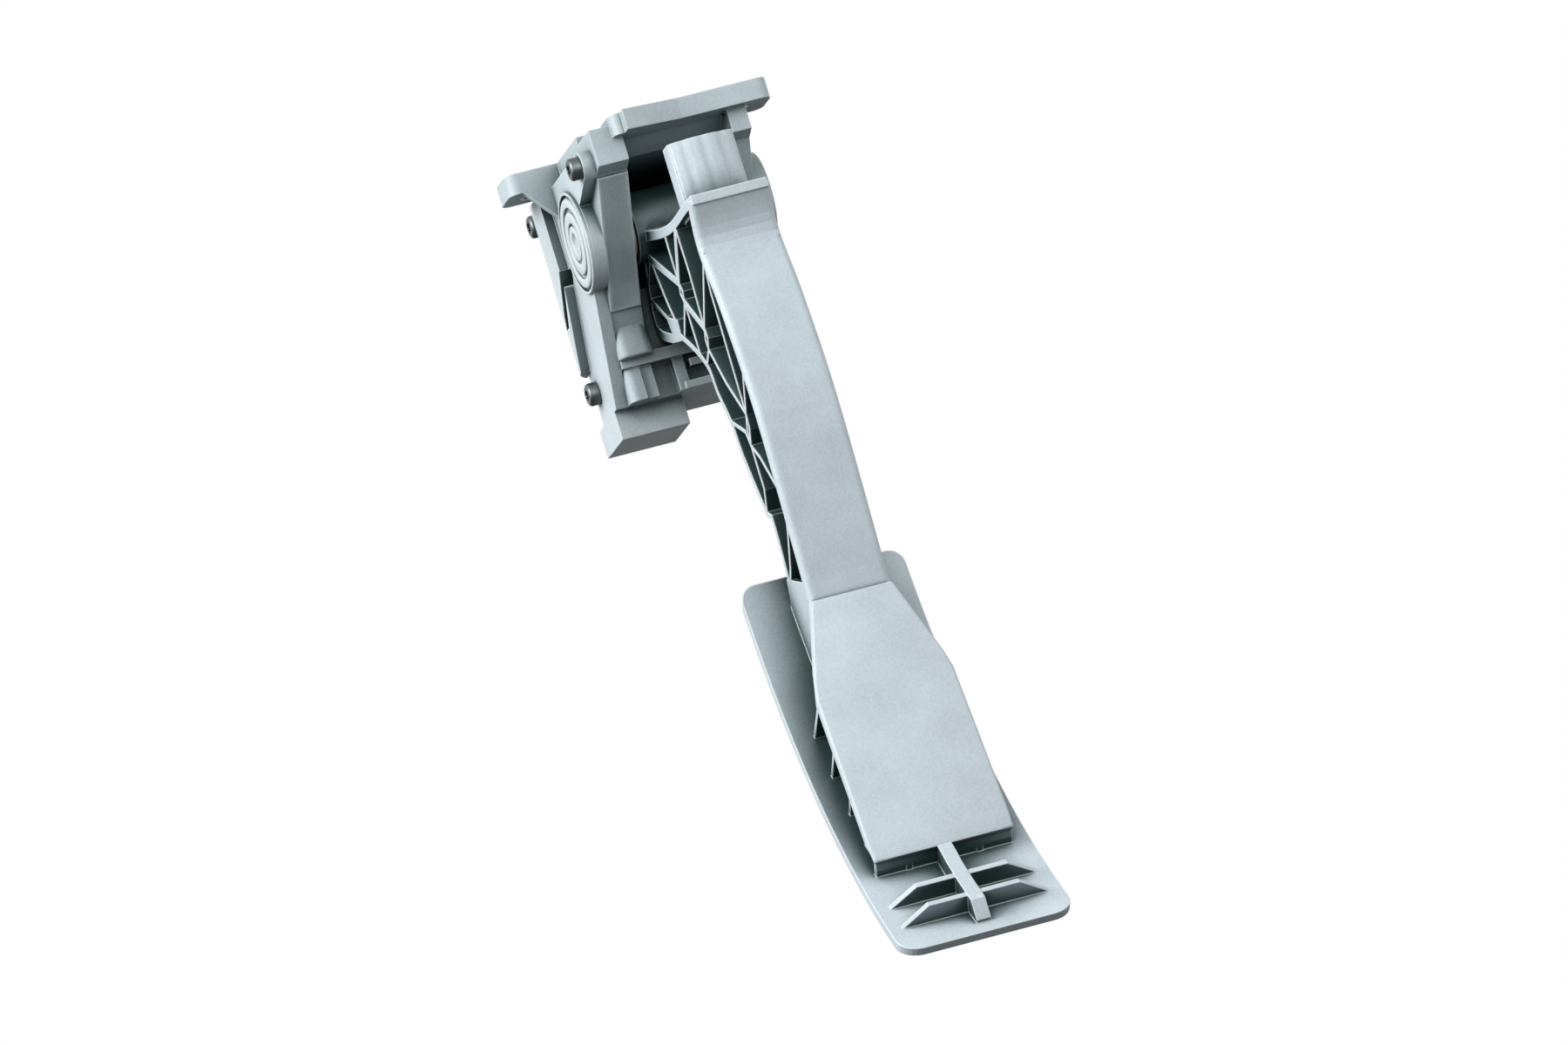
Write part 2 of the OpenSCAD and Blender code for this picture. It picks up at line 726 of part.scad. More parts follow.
// Lines of the arm as [y, z] from the pivot axis
arm_h = crease_drop - top_drop;
function down(f) = -top_drop - f*arm_h;
face_line = spline([[-reach, down(0)], [-reach + face_wave, down(0.107)],
    [-reach - 0.2, down(0.271)], [-reach - 3.7, down(0.546)], [-reach + 1.4, down(1)]], 6);
pad_centre = [-pad_ahead - pad_r*cos(pad_lean), -pad_drop + pad_r*sin(pad_lean)];
function on_pad(r, a) = pad_centre + r*[cos(a), -sin(a)];
pad_back_r = pad_r - pad_t/2;
box_end_point = on_pad(pad_back_r - box_h, box_end);
crease = face_line[len(face_line) - 1];
pad_joint = on_pad(pad_back_r, pad_lean + 3);

// Places on the arm's side: u counts from the pivot axis out to the flat face, s down the arm
function at(u, s) = [-u*reach, down(s)];

// Rear edge of the arm, from the lug below the hub down to the pad
hub_wall = 1.5*arm_wall;
lug_front = at(0.182, 0.216);
upper_rear = spline([lug_front, at(0.273, 0.247), at(0.39, 0.294), at(0.474, 0.345),
    at(0.494, 0.407), at(0.565, 0.489), at(0.592, 0.587), at(0.688, 0.74)], 3);
rear_line = concat(upper_rear, [at(0.747, 0.755), at(0.74, 0.814), at(0.71, 0.916), pad_joint]);
top_line = spline([[-reach, down(-0.002)], at(0.85, -0.004), at(0.58, -0.002), at(0.374, -0.016),
    at(0.13, -0.046), at(0.04, -0.052)], 3);

// Lug behind the hub's lower side, which rests on the idle bumper
lug_d = arm_back - hub_wall/2;
lug_low = -idle_mid - idle_h/2 + 0.5;
lug_high = -idle_mid + idle_h/2 - 0.5;
lug_line = [lug_front, at(0.04, 0.2), [lug_d/2, lug_low - 3.5], [lug_d, lug_low],
            [lug_d, lug_high], [0.7*lug_d, 0.8*lug_high], [0.3*lug_d, -hub_r], [0, -shaft_r - 1]];

module arm_side() {
    polygon(concat(face_line, reversed(rear_line), [for (i = [1:len(lug_line) - 1]) lug_line[i]],
        reversed(top_line)));
}
module box_side() {
    inside = [face_t/2, 0];
    polygon(concat([crease + inside, box_end_point + inside], reversed([for (k = [0:12])
        on_pad(pad_back_r + 0.5, pad_lean + 3 + (box_end - pad_lean - 3)*k/12)]),
        [pad_joint + [-4, 9], crease + inside + [0, 6]]));
}

// Where the truss ribs cross, each as the upper and lower end of a small diamond
upper_cross = [at(0.405, 0.115), at(0.405, 0.165)];
middle_cross = [at(0.592, 0.258), at(0.557, 0.308)];
lower_cross = [at(0.832, 0.51), at(0.762, 0.58)];
hub_foot = at(0.062, 0);

module truss_lines() {
    for (c = [upper_cross, middle_cross, lower_cross], side = [-1, 1])
        ribbon([c[0], (c[0] + c[1])/2 + [side*1.6, 0], c[1]], rib_t);
    // Ribs above the upper crossing
    ribbon([at(0.41, -0.01), upper_cross[0]], rib_t);
    ribbon([at(0.618, 0), upper_cross[0]], 2*rib_t);
    ribbon([hub_foot, upper_cross[0]], 2*rib_t);
    // Ribs of the lug
    ribbon([hub_foot, at(0.131, 0.121), at(0.194, 0.2)], rib_t);
    ribbon([hub_foot, [0.5*lug_d, 0.7*lug_high]], rib_t);
    ribbon([[0.8*lug_d, 0.85*lug_high], at(0.058, 0.15)], rib_t);
    polygon([at(0.049, 0.146), at(0.208, 0.178), at(0.2, 0.21), at(0.078, 0.211)]);
    // Ribs between the upper and the middle crossing
    ribbon([upper_cross[1], at(0.249, 0.225)], rib_t);
    ribbon([upper_cross[1], at(0.404, 0.3)], rib_t);
    ribbon([upper_cross[1], middle_cross[0]], 2*rib_t);
    ribbon([at(0.61, 0), at(0.617, 0.125), at(0.601, 0.211), middle_cross[0]], rib_t);
    ribbon([at(0.95, 0.11), middle_cross[0]], rib_t);
    // Ribs between the middle and the lower crossing
    ribbon([middle_cross[1], at(0.44, 0.335)], rib_t);
    ribbon([middle_cross[1], at(0.67, 0.407), lower_cross[0]], rib_t);
    ribbon([at(0.9, 0.12), at(0.858, 0.211), lower_cross[0]], rib_t);
    ribbon([at(1, 0.415), lower_cross[0]], rib_t);
    ribbon([at(0.55, 0.485), at(0.738, 0.54), lower_cross[1]], rib_t);
    // Ribs below the lower crossing
    ribbon([lower_cross[1], at(0.843, 0.62), at(1, 0.74)], rib_t);
    ribbon([lower_cross[1], at(0.76, 0.639), at(0.76, 0.689), at(0.7, 0.735)], rib_t);
    ribbon([at(1, 0.76), at(0.922, 0.82), at(0.791, 0.893), at(0.7, 0.93)], rib_t);
}

module arm_walls() {
    ribbon(rear_line, arm_wall);
    ribbon(top_line, hub_wall);
    ribbon(lug_line, hub_wall);
    ribbon(shifted(face_line, face_t/2 + 0.6), face_t - 0.6);
}

// The flat face: a plate with round long edges that widens below the crease
low_face = [for (f = [0.125, 0.25, 0.375, 0.5, 0.65, 0.8, 0.93, 0.97, 1])
    crease + (box_end_point - crease)*f];
plate_line = concat(face_line, low_face);
function plate_half(z) = lookup(z, [[box_end_point[1], box_w/2 - 2.4],
    [box_end_point[1] + 2.6, box_w/2 - 0.7], [box_end_point[1] + 6, box_w/2],
    [-crease_drop - 32, box_w/2 - 0.6], [-crease_drop - 26, box_w/2 - 1.8],
    [-crease_drop, arm_half]]);
function plate_section(w) = concat([[-w, -face_t]], arc([-w + edge_r, -edge_r], edge_r, 180, 90, 4),
    arc([w - edge_r, -edge_r], edge_r, 90, 0, 4), [[w, -face_t]]);
module face_plate() {
    line = plate_line;
    m = len(plate_section(arm_half));
    points = [for (i = [0:len(line) - 1], q = plate_section(plate_half(line[i][1])))
        let (n = -turned(heading(line, i)))
        [q[0], line[i][0] + n[0]*q[1], line[i][1] + n[1]*q[1]]];
    skin = [for (i = [0:len(line) - 2], k = [0:m - 1], half = [0, 1])
        let (a = i*m + k, b = i*m + (k + 1)%m, c = a + m, d = b + m)
        half == 0 ? [a, b, c] : [b, d, c]];
    first = [for (k = [m - 1:-1:0]) k];
    last = [for (k = [0:m - 1]) (len(line) - 1)*m + k];
    polyhedron(points, concat(skin, [first], [last]));
}

// The bent pad, cut to its outline
module pad_outline() {
    w0 = pad_top_w/2;
    w1 = pad_bottom_w/2;
    top = pad_half - pad_top_r;
    bottom = -pad_half + pad_corner_r;
    polygon(concat(arc([w0 - pad_top_r, top], pad_top_r, 0, 90),
                   arc([-w0 + pad_top_r, top], pad_top_r, 90, 180),
                   arc([-w1 + pad_corner_r, bottom], pad_corner_r, 180, 270),
                   arc([w1 - pad_corner_r, bottom], pad_corner_r, 270, 360)));
}
pad_half = pad_r*sin(pad_arc/2);
pad_end = pad_lean + pad_arc;
module pad() {
    intersection() {
        translate([0, pad_centre[0], pad_centre[1]]) difference() {
            bar_x(pad_r + pad_t/2, -60, 60, $fn = 180);
            bar_x(pad_back_r, -61, 61, $fn = 180);
        }
        at_bend(pad_lean + pad_arc/2) translate([0, 20, 0]) rotate([90, 0, 0])
            linear_extrude(60) pad_outline();
    }
}

// Ribs between the flat face and the pad, and the open ribs below the box
module at_bend(a) {
    translate([0, pad_centre[0], pad_centre[1]]) rotate([-a, 0, 0]) translate([0, pad_r, 0])
        children();
}
module pad_box() {
    across(-web_t/2, web_t/2) box_side();
    for (s = [-1, 1])
        translate([s*(arm_half - rib_inset - arm_wall/2), 0, 0])
            across(-arm_wall/2, arm_wall/2) box_side();
    intersection() {
        across(-box_w/2 + rib_inset, box_w/2 - rib_inset) box_side();
        union() {
            at_bend(box_end - 0.4) translate([-box_w/2, -30, -1]) cube([box_w, 30, 2]);
            for (a = [22, 26.5, 31, 35])
                at_bend(a) translate([-box_w/2 + 2.5, -30, 0]) cube([box_w - 5, 30, rib_t]);
        }
    }
    intersection() {
        across(-arm_half, arm_half) box_side();
        at_bend(16) translate([-arm_half, -30, -1]) cube([arm_w, 30, arm_wall]);
    }
}
module pad_ribs() {
    depth = pad_t/2 + pad_rib_h;
    for (a = [43.4, 46.6])
        at_bend(a) translate([0, 0, 1]) rotate([180, 0, 0]) linear_extrude(2)
            polygon([[-24, pad_t/2 - 0.5], [-14.5, depth], [14.5, depth], [24, pad_t/2 - 0.5]]);
    intersection() {
        translate([-2.25, pad_centre[0], pad_centre[1]]) rotate([90, 0, 90]) linear_extrude(4.5)
            polygon(concat([for (k = [0:8]) let (a = box_end + (pad_end - 1.5 - box_end)*k/8)
                    (pad_back_r + 0.5)*[cos(a), -sin(a)]],
                [for (k = [8:-1:0]) let (a = box_end + (pad_end - 1.5 - box_end)*k/8,
                    rise = k == 8 ? 1 : pad_rib_h + (k < 2 ? 0.7 : 0.2))
                    (pad_back_r - rise)*[cos(a), -sin(a)]]));
        translate([-5, -400, -400]) cube([10, 800, 400]);
    }
}

// Fluted tower at the top of the arm, with a slightly bowed front
tower_bow = 25;
flute_r = 2.6;
tower_wall = 2.4;
module tower() {
    translate([0, -reach + tower_back, down(0) - 2]) difference() {
        linear_extrude(tower_h + 2) difference() {
            intersection() {
                round_plan(-tower_w/2, tower_w/2, 0, tower_depth, 3);
                translate([0, tower_bow]) circle(tower_bow, $fn = 128);
            }
            for (x = [-0.29, 0, 0.29]*tower_w)
                translate([x, x*x/(2*tower_bow) + 0.9 - flute_r]) circle(flute_r, $fn = 24);
        }
        translate([0, 0, 5]) linear_extrude(tower_h)
            round_plan(-tower_w/2 + tower_wall, tower_w/2 - tower_wall, tower_wall + 1.8,
                       tower_depth - tower_wall, 1.5);
    }
}

module pedal_arm() {
    half = arm_half - rib_inset;
    color(plastic) at_pivot() {
        difference() {
            union() {
                across(-web_t/2, web_t/2) arm_side();
                across(-half, half) {
                    intersection() {
                        arm_side();
                        truss_lines();
                    }
                    arm_walls();
                }
                bar_x(hub_r, -hub_w/2, hub_w/2);
                lobe();
                pad();
                pad_box();
                pad_ribs();
                tower();
            }
            bar_x(shaft_r, -hub_w/2 - 1, hub_w/2 + 1);
        }
        face_plate();
    }
}

// The finger behind the hub that presses the spring cup
module lobe() {
    bar_x(lobe_r, -lobe_w/2, lobe_w/2, lobe_y, lobe_z);
    across(-lobe_w/2, lobe_w/2)
        polygon([[0, hub_r - 1], [6, hub_r - 2], [lobe_y + 1, lobe_z + lobe_r],
                 [lobe_y, lobe_z - lobe_r], [5, lobe_floor]]);
}

module pivot_shaft() {
    x0 = -slot_half - pocket_floor - gap - 2;
    x1 = right_face + 1.8;
    color(steel) at_pivot() difference() {
        bar_x(shaft_r, x0, x1);
        // Groove of the retaining ring
        difference() {
            bar_x(shaft_r + 1, right_face + 0.3, right_face + 1.1);
            bar_x(shaft_r - 0.6, right_face, right_face + 2);
        }
    }
}

module shaft_ring() {
    color(dark) at_pivot() difference() {
        bar_x(shaft_r + 2.2, right_face + 0.3, right_face + 1.1);
        bar_x(shaft_r - 0.6, right_face, right_face + 2);
        translate([right_face, -1.2, -shaft_r - 4]) cube([2, 2.4, shaft_r + 1]);
    }
}

holder_x = -slot_half - pocket_floor - gap;
module magnet_holder() {
    color(dark) at_pivot() difference() {
        bar_x(holder_r, holder_x - holder_t, holder_x);
        bar_x(shaft_r, holder_x - 2, holder_x + 1);
        bar_x(magnet_r, holder_x - holder_t - 1, holder_x - holder_t + magnet_t);
    }
}
module rotor_magnet() {
    color("#4a4c50") at_pivot()
        bar_x(magnet_r, holder_x - holder_t, holder_x - holder_t + magnet_t);
}

// Inverted cup over the springs
shoe_h = 9;
module spring_cup() {
    color("#3a3f42") translate([0, chamber_y, cup_top - cup_h]) difference() {
        cylinder(r = cup_r, h = cup_h);
        translate([0, 0, -1]) cylinder(r = cup_r - cup_wall, h = cup_h + 1 - 2*cup_wall);
        shoe_ring(1);
    }
}
shoe_proud = 0.35;
module shoe_ring(proud) {
    for (a = [-35, 145])
        rotate([0, 0, a]) translate([0, 0, 2]) rotate_extrude(angle = 70)
            translate([cup_r + shoe_proud - shoe_t, 0]) square([shoe_t - shoe_proud + proud, shoe_h]);
}
module friction_shoes() {
    color("#6b5a3c") translate([0, chamber_y, cup_top - cup_h]) shoe_ring(shoe_proud);
}

housing();
side_cover();
pivot_cap();
cover_gasket();
cover_screws();
mount_sleeves();
circuit_board();
sensor_chips();
connector_pins();
left_bush();
right_bush();
spring_seat();
idle_bumper();
travel_bumper();
outer_spring();
inner_spring();
pedal_arm();
pivot_shaft();
shaft_ring();
magnet_holder();
rotor_magnet();
spring_cup();
friction_shoes();
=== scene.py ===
import json
import math

import bmesh
import bpy
from mathutils import Matrix, Vector

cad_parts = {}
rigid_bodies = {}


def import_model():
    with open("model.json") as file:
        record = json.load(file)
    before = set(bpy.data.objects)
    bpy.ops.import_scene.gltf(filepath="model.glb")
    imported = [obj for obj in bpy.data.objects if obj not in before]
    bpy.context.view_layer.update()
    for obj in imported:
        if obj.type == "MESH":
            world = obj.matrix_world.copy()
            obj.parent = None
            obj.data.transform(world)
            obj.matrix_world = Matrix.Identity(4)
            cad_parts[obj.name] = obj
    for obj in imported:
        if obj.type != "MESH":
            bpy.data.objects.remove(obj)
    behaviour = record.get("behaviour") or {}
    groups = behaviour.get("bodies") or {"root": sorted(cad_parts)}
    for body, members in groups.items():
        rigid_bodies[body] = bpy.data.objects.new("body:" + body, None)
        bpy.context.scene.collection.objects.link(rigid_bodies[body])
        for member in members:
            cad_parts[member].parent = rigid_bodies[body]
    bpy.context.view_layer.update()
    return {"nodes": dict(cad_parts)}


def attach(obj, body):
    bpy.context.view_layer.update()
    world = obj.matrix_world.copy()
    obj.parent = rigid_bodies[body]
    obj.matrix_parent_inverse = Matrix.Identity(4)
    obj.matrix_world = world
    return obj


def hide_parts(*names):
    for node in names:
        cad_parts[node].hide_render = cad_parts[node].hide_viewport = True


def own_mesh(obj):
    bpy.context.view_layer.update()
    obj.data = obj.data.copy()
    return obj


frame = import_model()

bl_info = {
    "name": "Accelerator pedal",
    "version": (1, 0, 0),
    "blender": (4, 5, 0),
    "location": "3D View > Sidebar > Pedal",
    "description": "Dresses the accelerator pedal with its finishes, springs and fasteners",
    "category": "Object",
}

NODES = frame["nodes"]
MM = 0.001

# Two places nearer than this are one
CLOSE = 1e-6
# An edge that bends more than SHARP is rounded, and one that is left sharper than that, or than
# TURNED_SHARP on a turned piece, shows as an edge
SHARP = math.radians(35)
TURNED_SHARP = math.radians(50)
# The turn that points a piece drawn up along Z to the left, along -X
POINT_LEFT = (0, math.radians(-90), 0)

# The left cheek's slanted front and the ledge below it, as depth and height of the side view,
# and where the cheek's left and right sides lie
CHEEK_UPPER = (-30 * MM, -15.5 * MM)
CHEEK_LOWER = (4 * MM, -51.5 * MM)
LEDGE = (9 * MM, -64.5 * MM)
CHEEK_SIDES = (-26.65 * MM, -16.85 * MM)

# The tower on top of the arm: its front at the middle, the radius of its bow, its width, the
# thickness of its modelled skin and the heights of its ends
TOWER_FRONT = -63.25 * MM
TOWER_BOW = 23.75 * MM
TOWER_WIDTH = 19.8 * MM
TOWER_SKIN = 1.3 * MM
TOWER_ENDS = (-40.9 * MM, -17.6 * MM)
# The flutes' middles and the half width of each, as shares of the tower's width
FLUTES = (-0.3, 0, 0.3)
FLUTE_HALF = 0.1

# The box behind the pad: depth and height of its outer face at the crease and at its end
BOX_UPPER = (-77.0 * MM, -167.2 * MM)
BOX_LOWER = (-95.45 * MM, -252.4 * MM)


# Small helpers

def linear(hex_colour):
    """A colour written as sRGB hex, as linear red, green, blue and alpha."""
    parts = [int(hex_colour[i:i + 2], 16) / 255 for i in (1, 3, 5)]
    return tuple(c / 12.92 if c <= 0.04045 else ((c + 0.055) / 1.055) ** 2.4
                 for c in parts) + (1.0,)


def add(tree, kind, inputs=None, **settings):
    """Adds a shader node with its settings, and its inputs as values or as sockets to link."""
    made = tree.nodes.new(kind)
    for name, value in settings.items():
        setattr(made, name, value)
    for socket, value in (inputs or {}).items():
        if isinstance(value, bpy.types.NodeSocket):
            tree.links.new(value, made.inputs[socket])
        else:
            made.inputs[socket].default_value = value
    return made


def new_material(name):
    """An empty node material with its output, and the object coordinates every pattern reads."""
    material = bpy.data.materials.new(name)
    material.use_nodes = True
    tree = material.node_tree
    tree.nodes.clear()
    output = tree.nodes.new("ShaderNodeOutputMaterial")
    place = tree.nodes.new("ShaderNodeTexCoord").outputs["Object"]
    return material, tree, output, place


def dress(obj, material):
    """Gives an object one material in place of what it has."""
    obj.data.materials.clear()
    obj.data.materials.append(material)


def deselect():
    """Leaves edit mode and deselects every object."""
    if bpy.context.object and bpy.context.object.mode != "OBJECT":
        bpy.ops.object.mode_set(mode="OBJECT")
    bpy.ops.object.select_all(action="DESELECT")


def make_active(obj):
    """Selects one object alone."""
    deselect()
    obj.select_set(True)
    bpy.context.view_layer.objects.active = obj


def settle(obj):
    """Moves an object's place into its mesh, so that the object sits at the origin."""
    make_active(obj)
    bpy.ops.object.transform_apply(location=True, rotation=True, scale=True)


def name_new_piece(name):
    """Names the piece that an operator has just added, and settles it."""
    piece = bpy.context.object
    piece.name = piece.data.name = name
    settle(piece)
    return piece


def apply_modifier(obj, kind, **settings):
    """Adds a modifier to an object and applies it."""
    make_active(obj)
    modifier = obj.modifiers.new(kind.title(), kind)
    for name, value in settings.items():
        setattr(modifier, name, value)
    bpy.ops.object.modifier_apply(modifier=modifier.name)


def smooth(obj, angle):
    """Shades an object smooth, apart from edges that bend more than an angle."""
    make_active(obj)
    bpy.ops.object.shade_smooth_by_angle(angle=angle)


def soften(obj, width, segments=2):
    """Rounds the sharp edges and smooths the rest."""
    apply_modifier(obj, "BEVEL", width=width, segments=segments, limit_method="ANGLE",
                   angle_limit=SHARP)
    smooth(obj, SHARP)


def islands(name):
    """The separate solids of a CAD node, each as a list of its corners."""
    mesh = bmesh.new()
    mesh.from_mesh(NODES[name].data)
    bmesh.ops.remove_doubles(mesh, verts=mesh.verts, dist=CLOSE)
    left, found = set(mesh.verts), []
    while left:
        stack, group = [left.pop()], []
        while stack:
            corner = stack.pop()
            group.append(corner.co.copy())
            for edge in corner.link_edges:
                other = edge.other_vert(corner)
                if other in left:
                    left.remove(other)
                    stack.append(other)
        found.append(group)
    mesh.free()
    return sorted(found, key=lambda g: tuple(round(c, 4) for c in sum(g, Vector()) / len(g)))


def box_of(points):
    """The lower and the upper corner of the box round some points."""
    return Vector(map(min, *points)), Vector(map(max, *points))


def node_box(name):
    """The lower and the upper corner of the box round a CAD node."""
    return box_of(sum(islands(name), []))


def select(piece, kind, wanted):
    """Opens edit mode with those of the piece's corners, edges or faces selected that are
    wanted."""
    make_active(piece)
    bpy.ops.object.mode_set(mode="EDIT")
    bpy.ops.mesh.select_mode(type=kind)
    bpy.ops.mesh.select_all(action="DESELECT")
    mesh = bmesh.from_edit_mesh(piece.data)
    for part in {"VERT": mesh.verts, "EDGE": mesh.edges, "FACE": mesh.faces}[kind]:
        part.select_set(wanted(part))
    bmesh.update_edit_mesh(piece.data)


def select_edges(piece, wanted):
    """Opens edit mode with the edges selected whose two ends meet a condition."""
    select(piece, "EDGE", lambda edge: wanted(edge.verts[0].co, edge.verts[1].co))


def select_top(piece):
    """Opens edit mode with the faces selected that look up."""
    select(piece, "FACE", lambda face: face.normal.z > 0.9)


def close_up():
    """Turns every face of the piece outwards and leaves edit mode."""
    bpy.ops.mesh.select_all(action="SELECT")
    bpy.ops.mesh.normals_make_consistent(inside=False)
    bpy.ops.object.mode_set(mode="OBJECT")


def turned(name, rings, sides):
    """A turned piece along Z, drawn up from a disc: each ring is a radius and a height."""
    deselect()
    radius, height = rings[0]
    bpy.ops.mesh.primitive_circle_add(vertices=sides, radius=radius, fill_type="NGON",
                                      location=(0, 0, height))
    piece = name_new_piece(name)
    bpy.ops.object.mode_set(mode="EDIT")
    bpy.ops.mesh.select_mode(type="FACE")
    bpy.ops.mesh.select_all(action="SELECT")
    for next_radius, next_height in rings[1:]:
        bpy.ops.mesh.extrude_region_move(
            TRANSFORM_OT_translate={"value": (0, 0, next_height - height)})
        share = next_radius / radius
        bpy.ops.transform.resize(value=(share, share, 1))
        radius, height = next_radius, next_height
    close_up()
    return piece


def swept_ring(name, inner, outer, low, high, angle, steps):
    """A ring along Z: its section is spun round the axis, all the way or up to an angle."""
    deselect()
    bpy.ops.mesh.primitive_plane_add(size=1, rotation=(math.radians(90), 0, 0))
    bpy.context.object.scale = (outer - inner, high - low, 1)
    bpy.context.object.location = ((inner + outer) / 2, 0, (low + high) / 2)
    piece = name_new_piece(name)
    bpy.ops.object.mode_set(mode="EDIT")
    bpy.ops.mesh.select_all(action="SELECT")
    bpy.ops.mesh.spin(steps=steps, angle=angle, center=(0, 0, 0), axis=(0, 0, 1))
    bpy.ops.mesh.select_all(action="SELECT")
    bpy.ops.mesh.remove_doubles(threshold=CLOSE)
    if angle == math.tau:
        # A closed ring keeps no face inside, where its two ends meet
        bpy.ops.mesh.select_all(action="DESELECT")
        bpy.ops.mesh.select_interior_faces()
        bpy.ops.mesh.delete(type="FACE")
    close_up()
    return piece


def groove_rings(middle, width, top, depth):
    """The rings of a groove, from its outer lip over its floor to its inner lip."""
    # How far outside the groove's edge and how far down each point of its wall lies
    wall = ((0.15 * MM, 0), (-0.1 * MM, 0.2 * MM), (-0.2 * MM, depth))
    outer = [(middle + width / 2 + outside, top - down) for outside, down in wall]
    inner = [(middle - width / 2 - outside, top - down) for outside, down in wall[::-1]]
    return outer + inner


def block(name, wide, deep, high):
    """A box at the origin, to be worked further."""
    deselect()
    bpy.ops.mesh.primitive_cube_add(size=1)
    bpy.context.object.scale = (wide, deep, high)
    return name_new_piece(name)


def put(piece, place, turn=(0, 0, 0)):
    """Turns a piece about the origin, moves it to its place and settles it."""
    piece.rotation_euler = turn
    piece.location = place
    settle(piece)


def put_on_slope(piece, upper, lower, aside, raised):
    """Lays a piece on a slope that is seen from the side and runs from an upper to a lower
    place: its length follows the slope, its thickness points out and its middle is raised."""
    run = (lower - upper).normalized()
    out = Vector((0, run.z, -run.y))
    turn = Matrix((-run.cross(out), -run, out)).transposed().to_4x4()
    middle = (upper + lower) / 2 + out * raised + Vector((aside, 0, 0))
    piece.matrix_world = Matrix.Translation(middle) @ turn
    settle(piece)


def copies(piece, name, places):
    """One copy of a piece at each place, each with a mesh of its own; the first is the piece."""
    made = [piece]
    for _ in places[1:]:
        again = piece.copy()
        again.data = piece.data.copy()
        bpy.context.scene.collection.objects.link(again)
        made.append(again)
    for number, (each, place) in enumerate(zip(made, places), 1):
        each.name = each.data.name = f"{name}_{number}"
        put(each, place)
    return made


def seat(pieces, body, node, replaces=True):
    """Each piece rides on a body, is marked with the CAD node whose finish it takes, and stands
    for that node unless it only adds to it."""
    for piece in pieces:
        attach(piece, body)
        piece["finish"] = node
        if replaces:
            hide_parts(node)


# Modelled pieces

